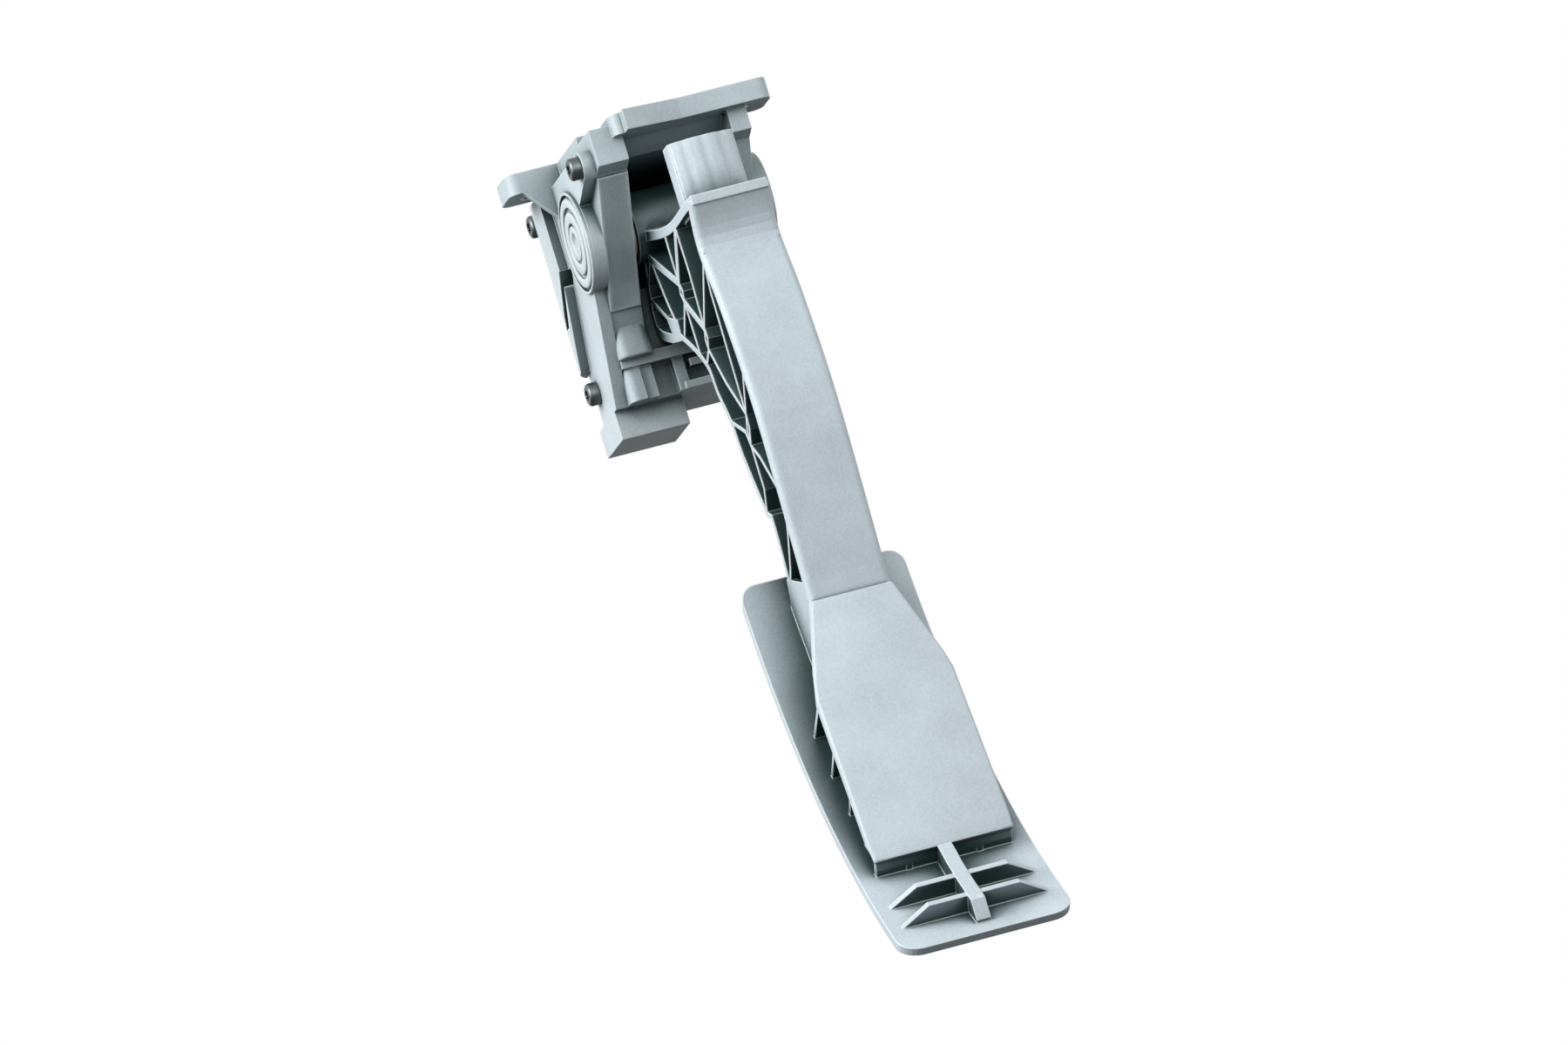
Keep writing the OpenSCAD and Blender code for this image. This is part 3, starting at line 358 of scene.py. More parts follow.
class PedalSizes(bpy.types.PropertyGroup):
    """Sizes of the modelled pieces"""
    sides: bpy.props.IntProperty(name="Sides", description="Sides of a turned piece", default=48)
    head_h: bpy.props.FloatProperty(name="Head", description="Height of the screws' heads",
                                    default=3.6 * MM, unit="LENGTH")
    shank_r: bpy.props.FloatProperty(name="Shank", description="Radius of the screws' thread",
                                     default=1.9 * MM, unit="LENGTH")
    thread_pitch: bpy.props.FloatProperty(name="Thread pitch",
                                          description="Pitch of the screws' thread",
                                          default=0.9 * MM, unit="LENGTH")
    drive_r: bpy.props.FloatProperty(name="Drive", description="Radius of the screws' drive",
                                     default=1.95 * MM, unit="LENGTH")
    drive_depth: bpy.props.FloatProperty(name="Drive depth",
                                         description="Depth of the screws' drive",
                                         default=2.2 * MM, unit="LENGTH")
    sleeve_bore: bpy.props.FloatProperty(name="Sleeve bore",
                                         description="Bore radius of the mounting sleeves",
                                         default=3.2 * MM, unit="LENGTH")
    sleeve_seam: bpy.props.FloatProperty(name="Sleeve seam",
                                         description="Angle of the rolled sleeves' open seam",
                                         default=math.radians(5), unit="ROTATION")
    ring_w: bpy.props.FloatProperty(name="Ring", description="Width of the retaining ring",
                                    default=2.8 * MM, unit="LENGTH")
    ring_gap: bpy.props.FloatProperty(name="Ring gap",
                                      description="Angle of the retaining ring's gap",
                                      default=math.radians(34), unit="ROTATION")
    disc_r: bpy.props.FloatProperty(name="Disc", description="Radius of the sensor cap's disc",
                                    default=14.2 * MM, unit="LENGTH")
    disc_proud: bpy.props.FloatProperty(name="Disc height",
                                        description="How far the disc stands off the cover",
                                        default=1.3 * MM, unit="LENGTH")
    cap_groove: bpy.props.FloatProperty(name="Cap grooves",
                                        description="Depth of the ring grooves in the cap",
                                        default=1.0 * MM, unit="LENGTH")
    cap_dimple: bpy.props.FloatProperty(name="Cap dimple",
                                        description="Radius of the cap's middle dimple",
                                        default=3.2 * MM, unit="LENGTH")
    rim_r: bpy.props.FloatProperty(name="Rim", description="Outer radius of the cap's rim",
                                   default=16 * MM, unit="LENGTH")
    rim_w: bpy.props.FloatProperty(name="Rim width", description="Width of the rim's wall",
                                   default=0.9 * MM, unit="LENGTH")
    panel_t: bpy.props.FloatProperty(name="Facing", description="Thickness of the cheek's facing",
                                     default=0.9 * MM, unit="LENGTH")
    panel_rim: bpy.props.FloatProperty(name="Facing's rim",
                                       description="Width of the raised rim on the facing",
                                       default=1.1 * MM, unit="LENGTH")
    block_w: bpy.props.FloatProperty(name="Block width", description="Width of the stop block",
                                     default=11.5 * MM, unit="LENGTH")
    block_d: bpy.props.FloatProperty(name="Block depth", description="Depth of the stop block",
                                     default=9 * MM, unit="LENGTH")
    block_h: bpy.props.FloatProperty(name="Block height", description="Height of the stop block",
                                     default=10.5 * MM, unit="LENGTH")
    block_wall: bpy.props.FloatProperty(name="Block wall",
                                        description="Wall round the stop block's hollow",
                                        default=1.7 * MM, unit="LENGTH")
    block_hollow: bpy.props.FloatProperty(name="Block hollow",
                                          description="Depth of the stop block's hollow",
                                          default=5 * MM, unit="LENGTH")
    flute_depth: bpy.props.FloatProperty(name="Flutes",
                                         description="Depth of the flutes on the tower's front",
                                         default=0.35 * MM, unit="LENGTH")
    plate_t: bpy.props.FloatProperty(name="Plate", description="Thickness of the box's plate",
                                     default=2.2 * MM, unit="LENGTH")
    neck_half: bpy.props.FloatProperty(name="Box neck",
                                       description="Half the width of the box at the crease",
                                       default=13 * MM, unit="LENGTH")
    box_half: bpy.props.FloatProperty(name="Box", description="Half the width of the box",
                                      default=22.5 * MM, unit="LENGTH")
    box_flare: bpy.props.FloatProperty(name="Box flare",
                                       description="How far below the crease the box widens",
                                       default=26 * MM, unit="LENGTH")
    outer_wire: bpy.props.FloatProperty(name="Outer wire",
                                        description="Wire radius of the outer spring",
                                        default=1.2 * MM, unit="LENGTH")
    inner_wire: bpy.props.FloatProperty(name="Inner wire",
                                        description="Wire radius of the inner spring",
                                        default=0.85 * MM, unit="LENGTH")
    spring_keep: bpy.props.FloatProperty(name="Spring travel",
                                         description="Share of the springs' length left at "
                                                     "full travel",
                                         default=0.74, subtype="FACTOR")


class PEDAL_OT_cover_screws(bpy.types.Operator):
    """Models the three thread-forming screws with a six-lobe drive that hold the side cover"""
    bl_idname = "pedal.cover_screws"
    bl_label = "Cover screws"

    def execute(self, context):
        sizes = context.scene.pedal_sizes
        boxes = [box_of(solid) for solid in islands("cover_screws")]
        lo, hi = boxes[0]
        head_r, top = (hi.y - lo.y) / 2, sizes.head_h
        shank_r, pitch = sizes.shank_r, sizes.thread_pitch
        root_r = shank_r * 0.82
        tip = -(hi.x - lo.x - top)
        # The tapered tip, then the thread's crests and roots up to the plain neck
        rings = [(shank_r * 0.5, tip), (shank_r * 0.8, tip + 0.5 * MM)]
        crest, neck = tip + 0.9 * MM, -2.2 * MM
        root_starts, root_ends = pitch * 0.35, pitch * 0.65
        while crest < neck - 0.3 * MM:
            rings += [(shank_r, crest), (root_r, crest + root_starts),
                      (root_r, crest + root_ends)]
            crest += pitch
        rings += [(shank_r, neck), (shank_r, 0), (head_r - 0.2 * MM, 0), (head_r, 0.2 * MM)]
        # How far in and how far down each point of the head's rounded edge lies, in mm
        for inwards, down in ((0, 0.9), (0.25, 0.4), (0.7, 0.1), (1.1, 0)):
            rings.append((head_r - inwards * MM, top - down * MM))
        drive, floor = sizes.drive_r, top - sizes.drive_depth
        lip = 0.15 * MM
        rings += [(drive + lip, top), (drive, top - lip), (drive * 0.95, floor),
                  (drive * 0.3, floor - 0.3 * MM)]
        screw = turned("cover_screw", rings, sizes.sides)
        # Between two lobes the drive's wall is drawn in, as far as ridge degrees to either side
        lobes, ridge, drawn_in = 6, 12, 0.78
        between = 180 / lobes

        def on_ridge(corner):
            x, y, z = corner.co
            angle = math.degrees(math.atan2(y, x)) % (2 * between)
            on_wall = drive * 0.9 < math.hypot(x, y) < drive + lip + 0.05 * MM
            return on_wall and abs(angle - between) < ridge and z > floor - 0.1 * MM

        select(screw, "VERT", on_ridge)
        bpy.ops.transform.resize(value=(drawn_in, drawn_in, 1), center_override=(0, 0, 0))
        bpy.ops.object.mode_set(mode="OBJECT")
        smooth(screw, math.radians(32))
        put(screw, (0, 0, 0), POINT_LEFT)
        places = [(low.x + top, (low.y + high.y) / 2, (low.z + high.z) / 2)
                  for low, high in boxes]
        seat(copies(screw, "cover_screw", places), "housing", "cover_screws")
        return {"FINISHED"}


class PEDAL_OT_mount_sleeves(bpy.types.Operator):
    """Models the rolled steel sleeves in the mounting holes, each with its open seam"""
    bl_idname = "pedal.mount_sleeves"
    bl_label = "Mounting sleeves"

    def execute(self, context):
        sizes = context.scene.pedal_sizes
        boxes = [box_of(solid) for solid in islands("mount_sleeves")]
        lo, hi = boxes[0]
        sleeve = swept_ring("mount_sleeve", sizes.sleeve_bore, (hi.x - lo.x) / 2, lo.z, hi.z,
                            angle=math.tau - sizes.sleeve_seam, steps=60)
        soften(sleeve, width=0.22 * MM)
        places = [((low.x + high.x) / 2, (low.y + high.y) / 2, 0) for low, high in boxes]
        seat(copies(sleeve, "mount_sleeve", places), "housing",
             "mount_sleeves")
        return {"FINISHED"}


class PEDAL_OT_shaft_ring(bpy.types.Operator):
    """Models the open retaining ring on the right end of the pivot shaft"""
    bl_idname = "pedal.shaft_ring"
    bl_label = "Retaining ring"

    def execute(self, context):
        sizes = context.scene.pedal_sizes
        lo, hi = node_box("shaft_ring")
        outer = (hi.y - lo.y) / 2
        half_thick = (hi.x - lo.x) / 2
        ring = swept_ring("retaining_ring", outer - sizes.ring_w, outer, -half_thick,
                          half_thick, angle=math.tau - sizes.ring_gap, steps=56)
        soften(ring, width=0.12 * MM)
        # The gap faces down once the ring lies on the shaft
        put(ring, (0, 0, 0), (0, 0, math.radians(180) + sizes.ring_gap / 2))
        put(ring, ((lo.x + hi.x) / 2, (lo.y + hi.y) / 2, hi.z - outer),
            (0, math.radians(90), 0))
        seat([ring], "pedal", "shaft_ring")
        return {"FINISHED"}


class PEDAL_OT_pivot_cap(bpy.types.Operator):
    """Models the sensor's round cap with its flange, ring grooves and dimple, and the rim
    of the cover round it"""
    bl_idname = "pedal.pivot_cap"
    bl_label = "Pivot cap"

    def execute(self, context):
        sizes = context.scene.pedal_sizes
        lo, hi = node_box("pivot_cap")
        seat_r = (hi.y - lo.y) / 2 - 0.3 * MM
        disc, top, dimple = sizes.disc_r, sizes.disc_proud, sizes.cap_dimple
        sides = 2 * sizes.sides
        # The stem in the cover, then the underside and the rounded edge of the flange
        under = 0.05 * MM
        rings = [(seat_r, lo.x - hi.x), (seat_r, under), (disc - 0.3 * MM, under),
                 (disc, 0.35 * MM), (disc - 0.1 * MM, top - 0.35 * MM), (disc - 0.6 * MM, top)]
        # How far in from the disc's edge each groove's middle lies, and its width, in mm
        for inwards, width in ((3.7, 1.6), (8.3, 1.1)):
            rings += groove_rings(disc - inwards * MM, width * MM, top, sizes.cap_groove)
        # The dimple's rounded lip and its shallow bowl
        rings += [(dimple + 0.35 * MM, top), (dimple + 0.1 * MM, top - 0.12 * MM),
                  (dimple - 0.1 * MM, top - 0.45 * MM), (dimple * 0.75, top - 0.95 * MM),
                  (dimple * 0.4, top - 1.1 * MM), (dimple * 0.1, top - 1.15 * MM)]
        cap = turned("pivot_cap_disc", rings, sides)
        rim = swept_ring("cover_rim", sizes.rim_r - sizes.rim_w, sizes.rim_r, -0.3 * MM,
                         top - 0.1 * MM, angle=math.tau, steps=sides)
        soften(rim, width=0.3 * MM)
        for piece in (cap, rim):
            smooth(piece, TURNED_SHARP)
            put(piece, (lo.x, (lo.y + hi.y) / 2, (lo.z + hi.z) / 2), POINT_LEFT)
        seat([cap], "housing", "pivot_cap")
        seat([rim], "housing", "side_cover", replaces=False)
        return {"FINISHED"}


class PEDAL_OT_cheek_facing(bpy.types.Operator):
    """Models the smooth facing of the left cheek's slanted front, with its raised rim"""
    bl_idname = "pedal.cheek_facing"
    bl_label = "Cheek facing"

    def execute(self, context):
        sizes = context.scene.pedal_sizes
        upper, lower = Vector((0, *CHEEK_UPPER)), Vector((0, *CHEEK_LOWER))
        left, right = CHEEK_SIDES
        # It stops short of the cheek's corners, its back is sunk into the cheek, and inside its
        # rim it is recessed by more than half its thickness
        short, sunk, recess = 1.6 * MM, 0.1 * MM, 0.55 * sizes.panel_t
        panel = block("cheek_facing", right - left, (lower - upper).length - short,
                      sizes.panel_t)
        select_top(panel)
        bpy.ops.mesh.inset(thickness=sizes.panel_rim, depth=0)
        bpy.ops.transform.translate(value=(0, 0, -recess))
        bpy.ops.object.mode_set(mode="OBJECT")
        soften(panel, width=0.22 * MM)
        put_on_slope(panel, upper, lower, aside=(left + right) / 2,
                     raised=sizes.panel_t / 2 - sunk)
        seat([panel], "housing", "housing", replaces=False)
        return {"FINISHED"}


class PEDAL_OT_stop_block(bpy.types.Operator):
    """Models the rounded stop block with its hollow, at the left end of the front ledge"""
    bl_idname = "pedal.stop_block"
    bl_label = "Stop block"

    def execute(self, context):
        sizes = context.scene.pedal_sizes
        wide, deep, high = sizes.block_w, sizes.block_d, sizes.block_h
        piece = block("stop_block", wide, deep, high)
        # The two upright edges in front are well rounded
        select_edges(piece, lambda a, b: abs(a.z - b.z) > CLOSE and a.y < 0)
        bpy.ops.mesh.bevel(offset=3.2 * MM, segments=8, affect="EDGES")
        bpy.ops.object.mode_set(mode="OBJECT")
        # The hollow narrows a little towards its floor
        select_top(piece)
        bpy.ops.mesh.inset(thickness=sizes.block_wall, depth=0)
        bpy.ops.mesh.extrude_region_move(
            TRANSFORM_OT_translate={"value": (0, 0, -sizes.block_hollow)})
        bpy.ops.transform.resize(value=(0.9, 0.85, 1))
        bpy.ops.object.mode_set(mode="OBJECT")
        soften(piece, width=0.7 * MM, segments=3)
        # It stands out to the left and in front, and its foot is sunk into the ledge
        left, front, foot = (CHEEK_SIDES[0] - 0.6 * MM, LEDGE[0] - 2.5 * MM, LEDGE[1] - 1 * MM)
        put(piece, (left + wide / 2, front + deep / 2, foot + high / 2))
        seat([piece], "housing", "housing", replaces=False)
        return {"FINISHED"}


class PEDAL_OT_tower_front(bpy.types.Operator):
    """Models the bowed front of the arm's tower, with its three shallow flutes"""
    bl_idname = "pedal.tower_front"
    bl_label = "Tower front"

    def execute(self, context):
        depth = context.scene.pedal_sizes.flute_depth
        low, high = TOWER_ENDS
        columns = 44
        piece = block("tower_front", TOWER_WIDTH, TOWER_SKIN, high - low)
        put(piece, (0, TOWER_FRONT + TOWER_SKIN / 2, (low + high) / 2))
        select_edges(piece, lambda a, b: abs(a.x - b.x) > CLOSE)
        bpy.ops.mesh.subdivide(number_cuts=columns - 1)
        bpy.ops.object.mode_set(mode="OBJECT")
        # Each column goes back by the bow, and by the flute that it lies in
        for column in range(columns + 1):
            x = (column / columns - 0.5) * TOWER_WIDTH
            back = x * x / (2 * TOWER_BOW)
            for middle in FLUTES:
                aside = abs(x - middle * TOWER_WIDTH) / (FLUTE_HALF * TOWER_WIDTH)
                if aside < 1:
                    back += depth * (1 + math.cos(math.pi * aside)) / 2
            select_edges(piece, lambda a, b: abs(a.x - x) + abs(b.x - x) < CLOSE)
            bpy.ops.transform.translate(value=(0, back, 0))
            bpy.ops.object.mode_set(mode="OBJECT")
        soften(piece, width=0.3 * MM)
        seat([piece], "pedal", "pedal_arm", replaces=False)
        return {"FINISHED"}


class PEDAL_OT_box_plate(bpy.types.Operator):
    """Models the skin of the box behind the foot pad, which widens below the crease and has
    nearly square corners at its end"""
    bl_idname = "pedal.box_plate"
    bl_label = "Box plate"

    def execute(self, context):
        sizes = context.scene.pedal_sizes
        upper, lower = Vector((0, *BOX_UPPER)), Vector((0, *BOX_LOWER))
        length, full, flare = (lower - upper).length, sizes.box_half, sizes.box_flare
        # Each row's distance below the crease and its half width, with a soft shoulder below
        # the flare and slightly drawn in corners at the end
        rows = ((0, sizes.neck_half), (flare, full - 1.8 * MM),
                (flare + 6 * MM, full - 0.6 * MM), (length - 6 * MM, full),
                (length, full - 0.3 * MM))
        gaps = len(rows) - 1
        # It is drawn two units wide, so that a row's scale is its half width
        plate = block("box_plate", 2, length, sizes.plate_t)
        select_edges(plate, lambda a, b: abs(a.y - b.y) > CLOSE)
        bpy.ops.mesh.subdivide(number_cuts=gaps - 1)
        bpy.ops.object.mode_set(mode="OBJECT")
        for number, (below, half) in enumerate(rows):
            row = length / 2 - number * length / gaps
            select_edges(plate, lambda a, b: abs(a.y - row) + abs(b.y - row) < CLOSE)
            bpy.ops.transform.resize(value=(half, 1, 1), center_override=(0, row, 0))
            bpy.ops.transform.translate(value=(0, length / 2 - below - row, 0))
            bpy.ops.object.mode_set(mode="OBJECT")
        soften(plate, width=0.9 * MM, segments=4)
        # Its outer face lies just above the arm's own
        put_on_slope(plate, upper, lower, aside=0, raised=0.06 * MM - sizes.plate_t / 2)
        seat([plate], "pedal", "pedal_arm", replaces=False)
        return {"FINISHED"}


class PEDAL_OT_springs(bpy.types.Operator):
    """Winds the two springs under the cup"""
    bl_idname = "pedal.springs"
    bl_label = "Springs"

    def execute(self, context):
        sizes = context.scene.pedal_sizes
        wire_sides, steps_per_turn = 12, 36
        for node, wire, turns, hand in (("outer_spring", sizes.outer_wire, 5, 1),
                                        ("inner_spring", sizes.inner_wire, 7, -1)):
            lo, hi = node_box(node)
            steps = steps_per_turn * turns
            deselect()
            bpy.ops.mesh.primitive_circle_add(vertices=wire_sides, radius=wire,
                                              rotation=(math.radians(90), 0, 0),
                                              location=((hi.x - lo.x) / 2 - wire, 0, wire))
            spring = name_new_piece(node + "_wound")
            apply_modifier(spring, "SCREW", axis="Z", angle=hand * math.tau * turns,
                           screw_offset=hi.z - lo.z - 2 * wire, steps=steps,
                           render_steps=steps, use_smooth_shade=True)
            make_active(spring)
            bpy.ops.object.mode_set(mode="EDIT")
            bpy.ops.mesh.select_all(action="SELECT")
            bpy.ops.mesh.remove_doubles(threshold=CLOSE)
            bpy.ops.mesh.select_all(action="SELECT")
            bpy.ops.mesh.fill_holes(sides=0)
            close_up()
            smooth(spring, TURNED_SHARP)
            depth = (lo.y + hi.y) / 2
            put(spring, ((lo.x + hi.x) / 2, depth, lo.z))
            seat([spring], "housing", node)
            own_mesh(spring)
        return {"FINISHED"}


# Finishes

# The span in which nearly all of a noise lies
NOISE_SPAN = {"From Min": 0.3, "From Max": 0.7}
# Width of the slow clouds in a moulding's tone, and how far the occlusion reaches that paints
# shade into pockets
CLOUD_MM = 14
PAINTED_SHADE_REACH = 26 * MM


def moulded_plastic(name, colour, painted_shade_colour, painted_highlight_colour, grain_mm, roughness, painted_shade_range,
                    edge_mm):
    """Glass-filled nylon from a spark-eroded mould: a fine matt grain, a painted highlight on the
    edges and painted shade in the pockets, darker where little light gets in. The real grain is
    about a tenth of a millimetre, and is drawn as coarse as it needs to show."""
    material, tree, output, place = new_material(name)
    cloud = add(tree, "ShaderNodeTexNoise", {"Vector": place, "Scale": 1000 / CLOUD_MM,
                "Detail": 3})
    speck = add(tree, "ShaderNodeTexNoise", {"Vector": place, "Scale": 1000 / grain_mm,
                "Detail": 2})
    # The colour with its slow cloud and its fine speck
    slow = add(tree, "ShaderNodeMapRange", {**NOISE_SPAN, "Value": cloud.outputs["Fac"],
               "To Min": 0.93, "To Max": 1.05})
    fine = add(tree, "ShaderNodeMapRange", {**NOISE_SPAN, "Value": speck.outputs["Fac"],
               "To Min": 0.93, "To Max": 1.06})
    tone = add(tree, "ShaderNodeMath", {0: slow.outputs[0], 1: fine.outputs[0]},
               operation="MULTIPLY")
    base = add(tree, "ShaderNodeMix", {"Factor": 1.0, 6: colour, 7: tone.outputs[0]},
               data_type="RGBA", blend_type="MULTIPLY")
    # Painted shade in the pockets: the range gives how open a place is where the painted shade is
    # full and where there is none
    openness = add(tree, "ShaderNodeAmbientOcclusion", {"Distance": PAINTED_SHADE_REACH}, samples=8)
    open_share = add(tree, "ShaderNodeMapRange", {"Value": openness.outputs["AO"],
                     "From Min": painted_shade_range[0], "From Max": painted_shade_range[1]})
    painted_pocket_shade = add(tree, "ShaderNodeMix", {"Factor": open_share.outputs[0], 6: painted_shade_colour,
                 7: base.outputs[2]}, data_type="RGBA")
    # Painted highlight on the edges: where the rounded normal leaves the flat one, the colour is
    # lightened towards the pale highlight colour
    rounded = add(tree, "ShaderNodeBevel", {"Radius": edge_mm * MM}, samples=6)
    flat = tree.nodes.new("ShaderNodeNewGeometry")
    agree = add(tree, "ShaderNodeVectorMath", {0: rounded.outputs[0],
                1: flat.outputs["True Normal"]}, operation="DOT_PRODUCT")
    edge = add(tree, "ShaderNodeMapRange", {"Value": agree.outputs["Value"],
               "From Min": 0.99, "From Max": 0.80, "To Max": 0.9})
    shown = add(tree, "ShaderNodeMix", {"Factor": edge.outputs[0], 6: painted_pocket_shade.outputs[2],
                7: painted_highlight_colour}, data_type="RGBA")
    bump = add(tree, "ShaderNodeBump", {"Strength": 0.35, "Distance": 0.05 * MM,
               "Height": speck.outputs["Fac"], "Normal": rounded.outputs[0]})
    shader = add(tree, "ShaderNodeBsdfPrincipled", {"Base Color": shown.outputs[2],
                 "Roughness": roughness, "IOR": 1.53, "Normal": bump.outputs[0]})
    tree.links.new(shader.outputs[0], output.inputs[0])
    return material


def plain_finish(name, colour, roughness, speck_mm, metallic=0.0):
    """A finish with one colour, a speck that breaks up its tone and shine, and softly rounded
    edges. The speck is drawn as coarse as it needs to show."""
    material, tree, output, place = new_material(name)
    speck = add(tree, "ShaderNodeTexNoise", {"Vector": place, "Scale": 1000 / speck_mm,
                "Detail": 3})
    tone = add(tree, "ShaderNodeMapRange", {**NOISE_SPAN, "Value": speck.outputs["Fac"],
               "To Min": 0.88, "To Max": 1.08})
    base = add(tree, "ShaderNodeMix", {"Factor": 1.0, 6: colour, 7: tone.outputs[0]},
               data_type="RGBA", blend_type="MULTIPLY")
    rough = add(tree, "ShaderNodeMapRange", {**NOISE_SPAN, "Value": speck.outputs["Fac"],
                "To Min": roughness * 0.85, "To Max": roughness * 1.15})
    rounded = add(tree, "ShaderNodeBevel", {"Radius": 0.2 * MM}, samples=4)
    bump = add(tree, "ShaderNodeBump", {"Strength": 0.3, "Distance": 0.02 * MM,
               "Height": speck.outputs["Fac"], "Normal": rounded.outputs[0]})
    shader = add(tree, "ShaderNodeBsdfPrincipled", {"Base Color": base.outputs[2],
                 "Roughness": rough.outputs[0], "Metallic": metallic,
                 "Normal": bump.outputs[0]})
    tree.links.new(shader.outputs[0], output.inputs[0])
    return material


class PedalColours(bpy.types.PropertyGroup):
    """Colours of the finishes"""
    body: bpy.props.FloatVectorProperty(name="Housing", description="Colour of the housing",
                                        default=linear("#A9B6BB"), subtype="COLOR", size=4)
    cover: bpy.props.FloatVectorProperty(name="Cover", description="Colour of the side cover",
                                         default=linear("#B7C3C8"), subtype="COLOR", size=4)
    arm: bpy.props.FloatVectorProperty(name="Arm", description="Colour of the pedal arm",
                                       default=linear("#B3C0C6"), subtype="COLOR", size=4)
    # Painted shade: the dark teal that pockets are darkened towards, the more they are shut in
    painted_pocket_shade: bpy.props.FloatVectorProperty(name="Pockets",
                                          description="Colour deep in the pockets",
                                          default=linear("#253B3B"), subtype="COLOR", size=4)
    # Painted highlight: the near-white that edges are lightened towards
    edge: bpy.props.FloatVectorProperty(name="Edges", description="Colour of worn edges",
                                        default=linear("#EEF3F5"), subtype="COLOR", size=4)
    screw: bpy.props.FloatVectorProperty(name="Screws", description="Colour of the screws",
                                         default=linear("#666C6D"), subtype="COLOR", size=4)
    zinc: bpy.props.FloatVectorProperty(name="Zinc",
                                        description="Colour of the sleeves and the shaft",
                                        default=linear("#B4B7B6"), subtype="COLOR", size=4)
    ring: bpy.props.FloatVectorProperty(name="Ring", description="Colour of the shaft's ring",
                                        default=linear("#2B2D2D"), subtype="COLOR", size=4)
    wire: bpy.props.FloatVectorProperty(name="Springs", description="Colour of the spring wire",
                                        default=linear("#8A8D8F"), subtype="COLOR", size=4)
    rubber: bpy.props.FloatVectorProperty(name="Rubber", description="Colour of the rubber",
                                          default=linear("#1B1C1C"), subtype="COLOR", size=4)
    bush: bpy.props.FloatVectorProperty(name="Bushes", description="Colour of the bushes",
                                        default=linear("#DAD6CA"), subtype="COLOR", size=4)
    inside: bpy.props.FloatVectorProperty(name="Inner mouldings",
                                          description="Colour of the holder and the cup",
                                          default=linear("#2E3133"), subtype="COLOR", size=4)
    lining: bpy.props.FloatVectorProperty(name="Shoes", description="Colour of the shoes",
                                          default=linear("#6E6048"), subtype="COLOR", size=4)
    magnet: bpy.props.FloatVectorProperty(name="Magnet", description="Colour of the magnet",
                                          default=linear("#3C3D40"), subtype="COLOR", size=4)
    board: bpy.props.FloatVectorProperty(name="Board", description="Colour of the board",
                                         default=linear("#1E5A3A"), subtype="COLOR", size=4)
    chip: bpy.props.FloatVectorProperty(name="Chips", description="Colour of the chips",
                                        default=linear("#161717"), subtype="COLOR", size=4)
    pin: bpy.props.FloatVectorProperty(name="Pins", description="Colour of the pins",
                                       default=linear("#C9C3AE"), subtype="COLOR", size=4)


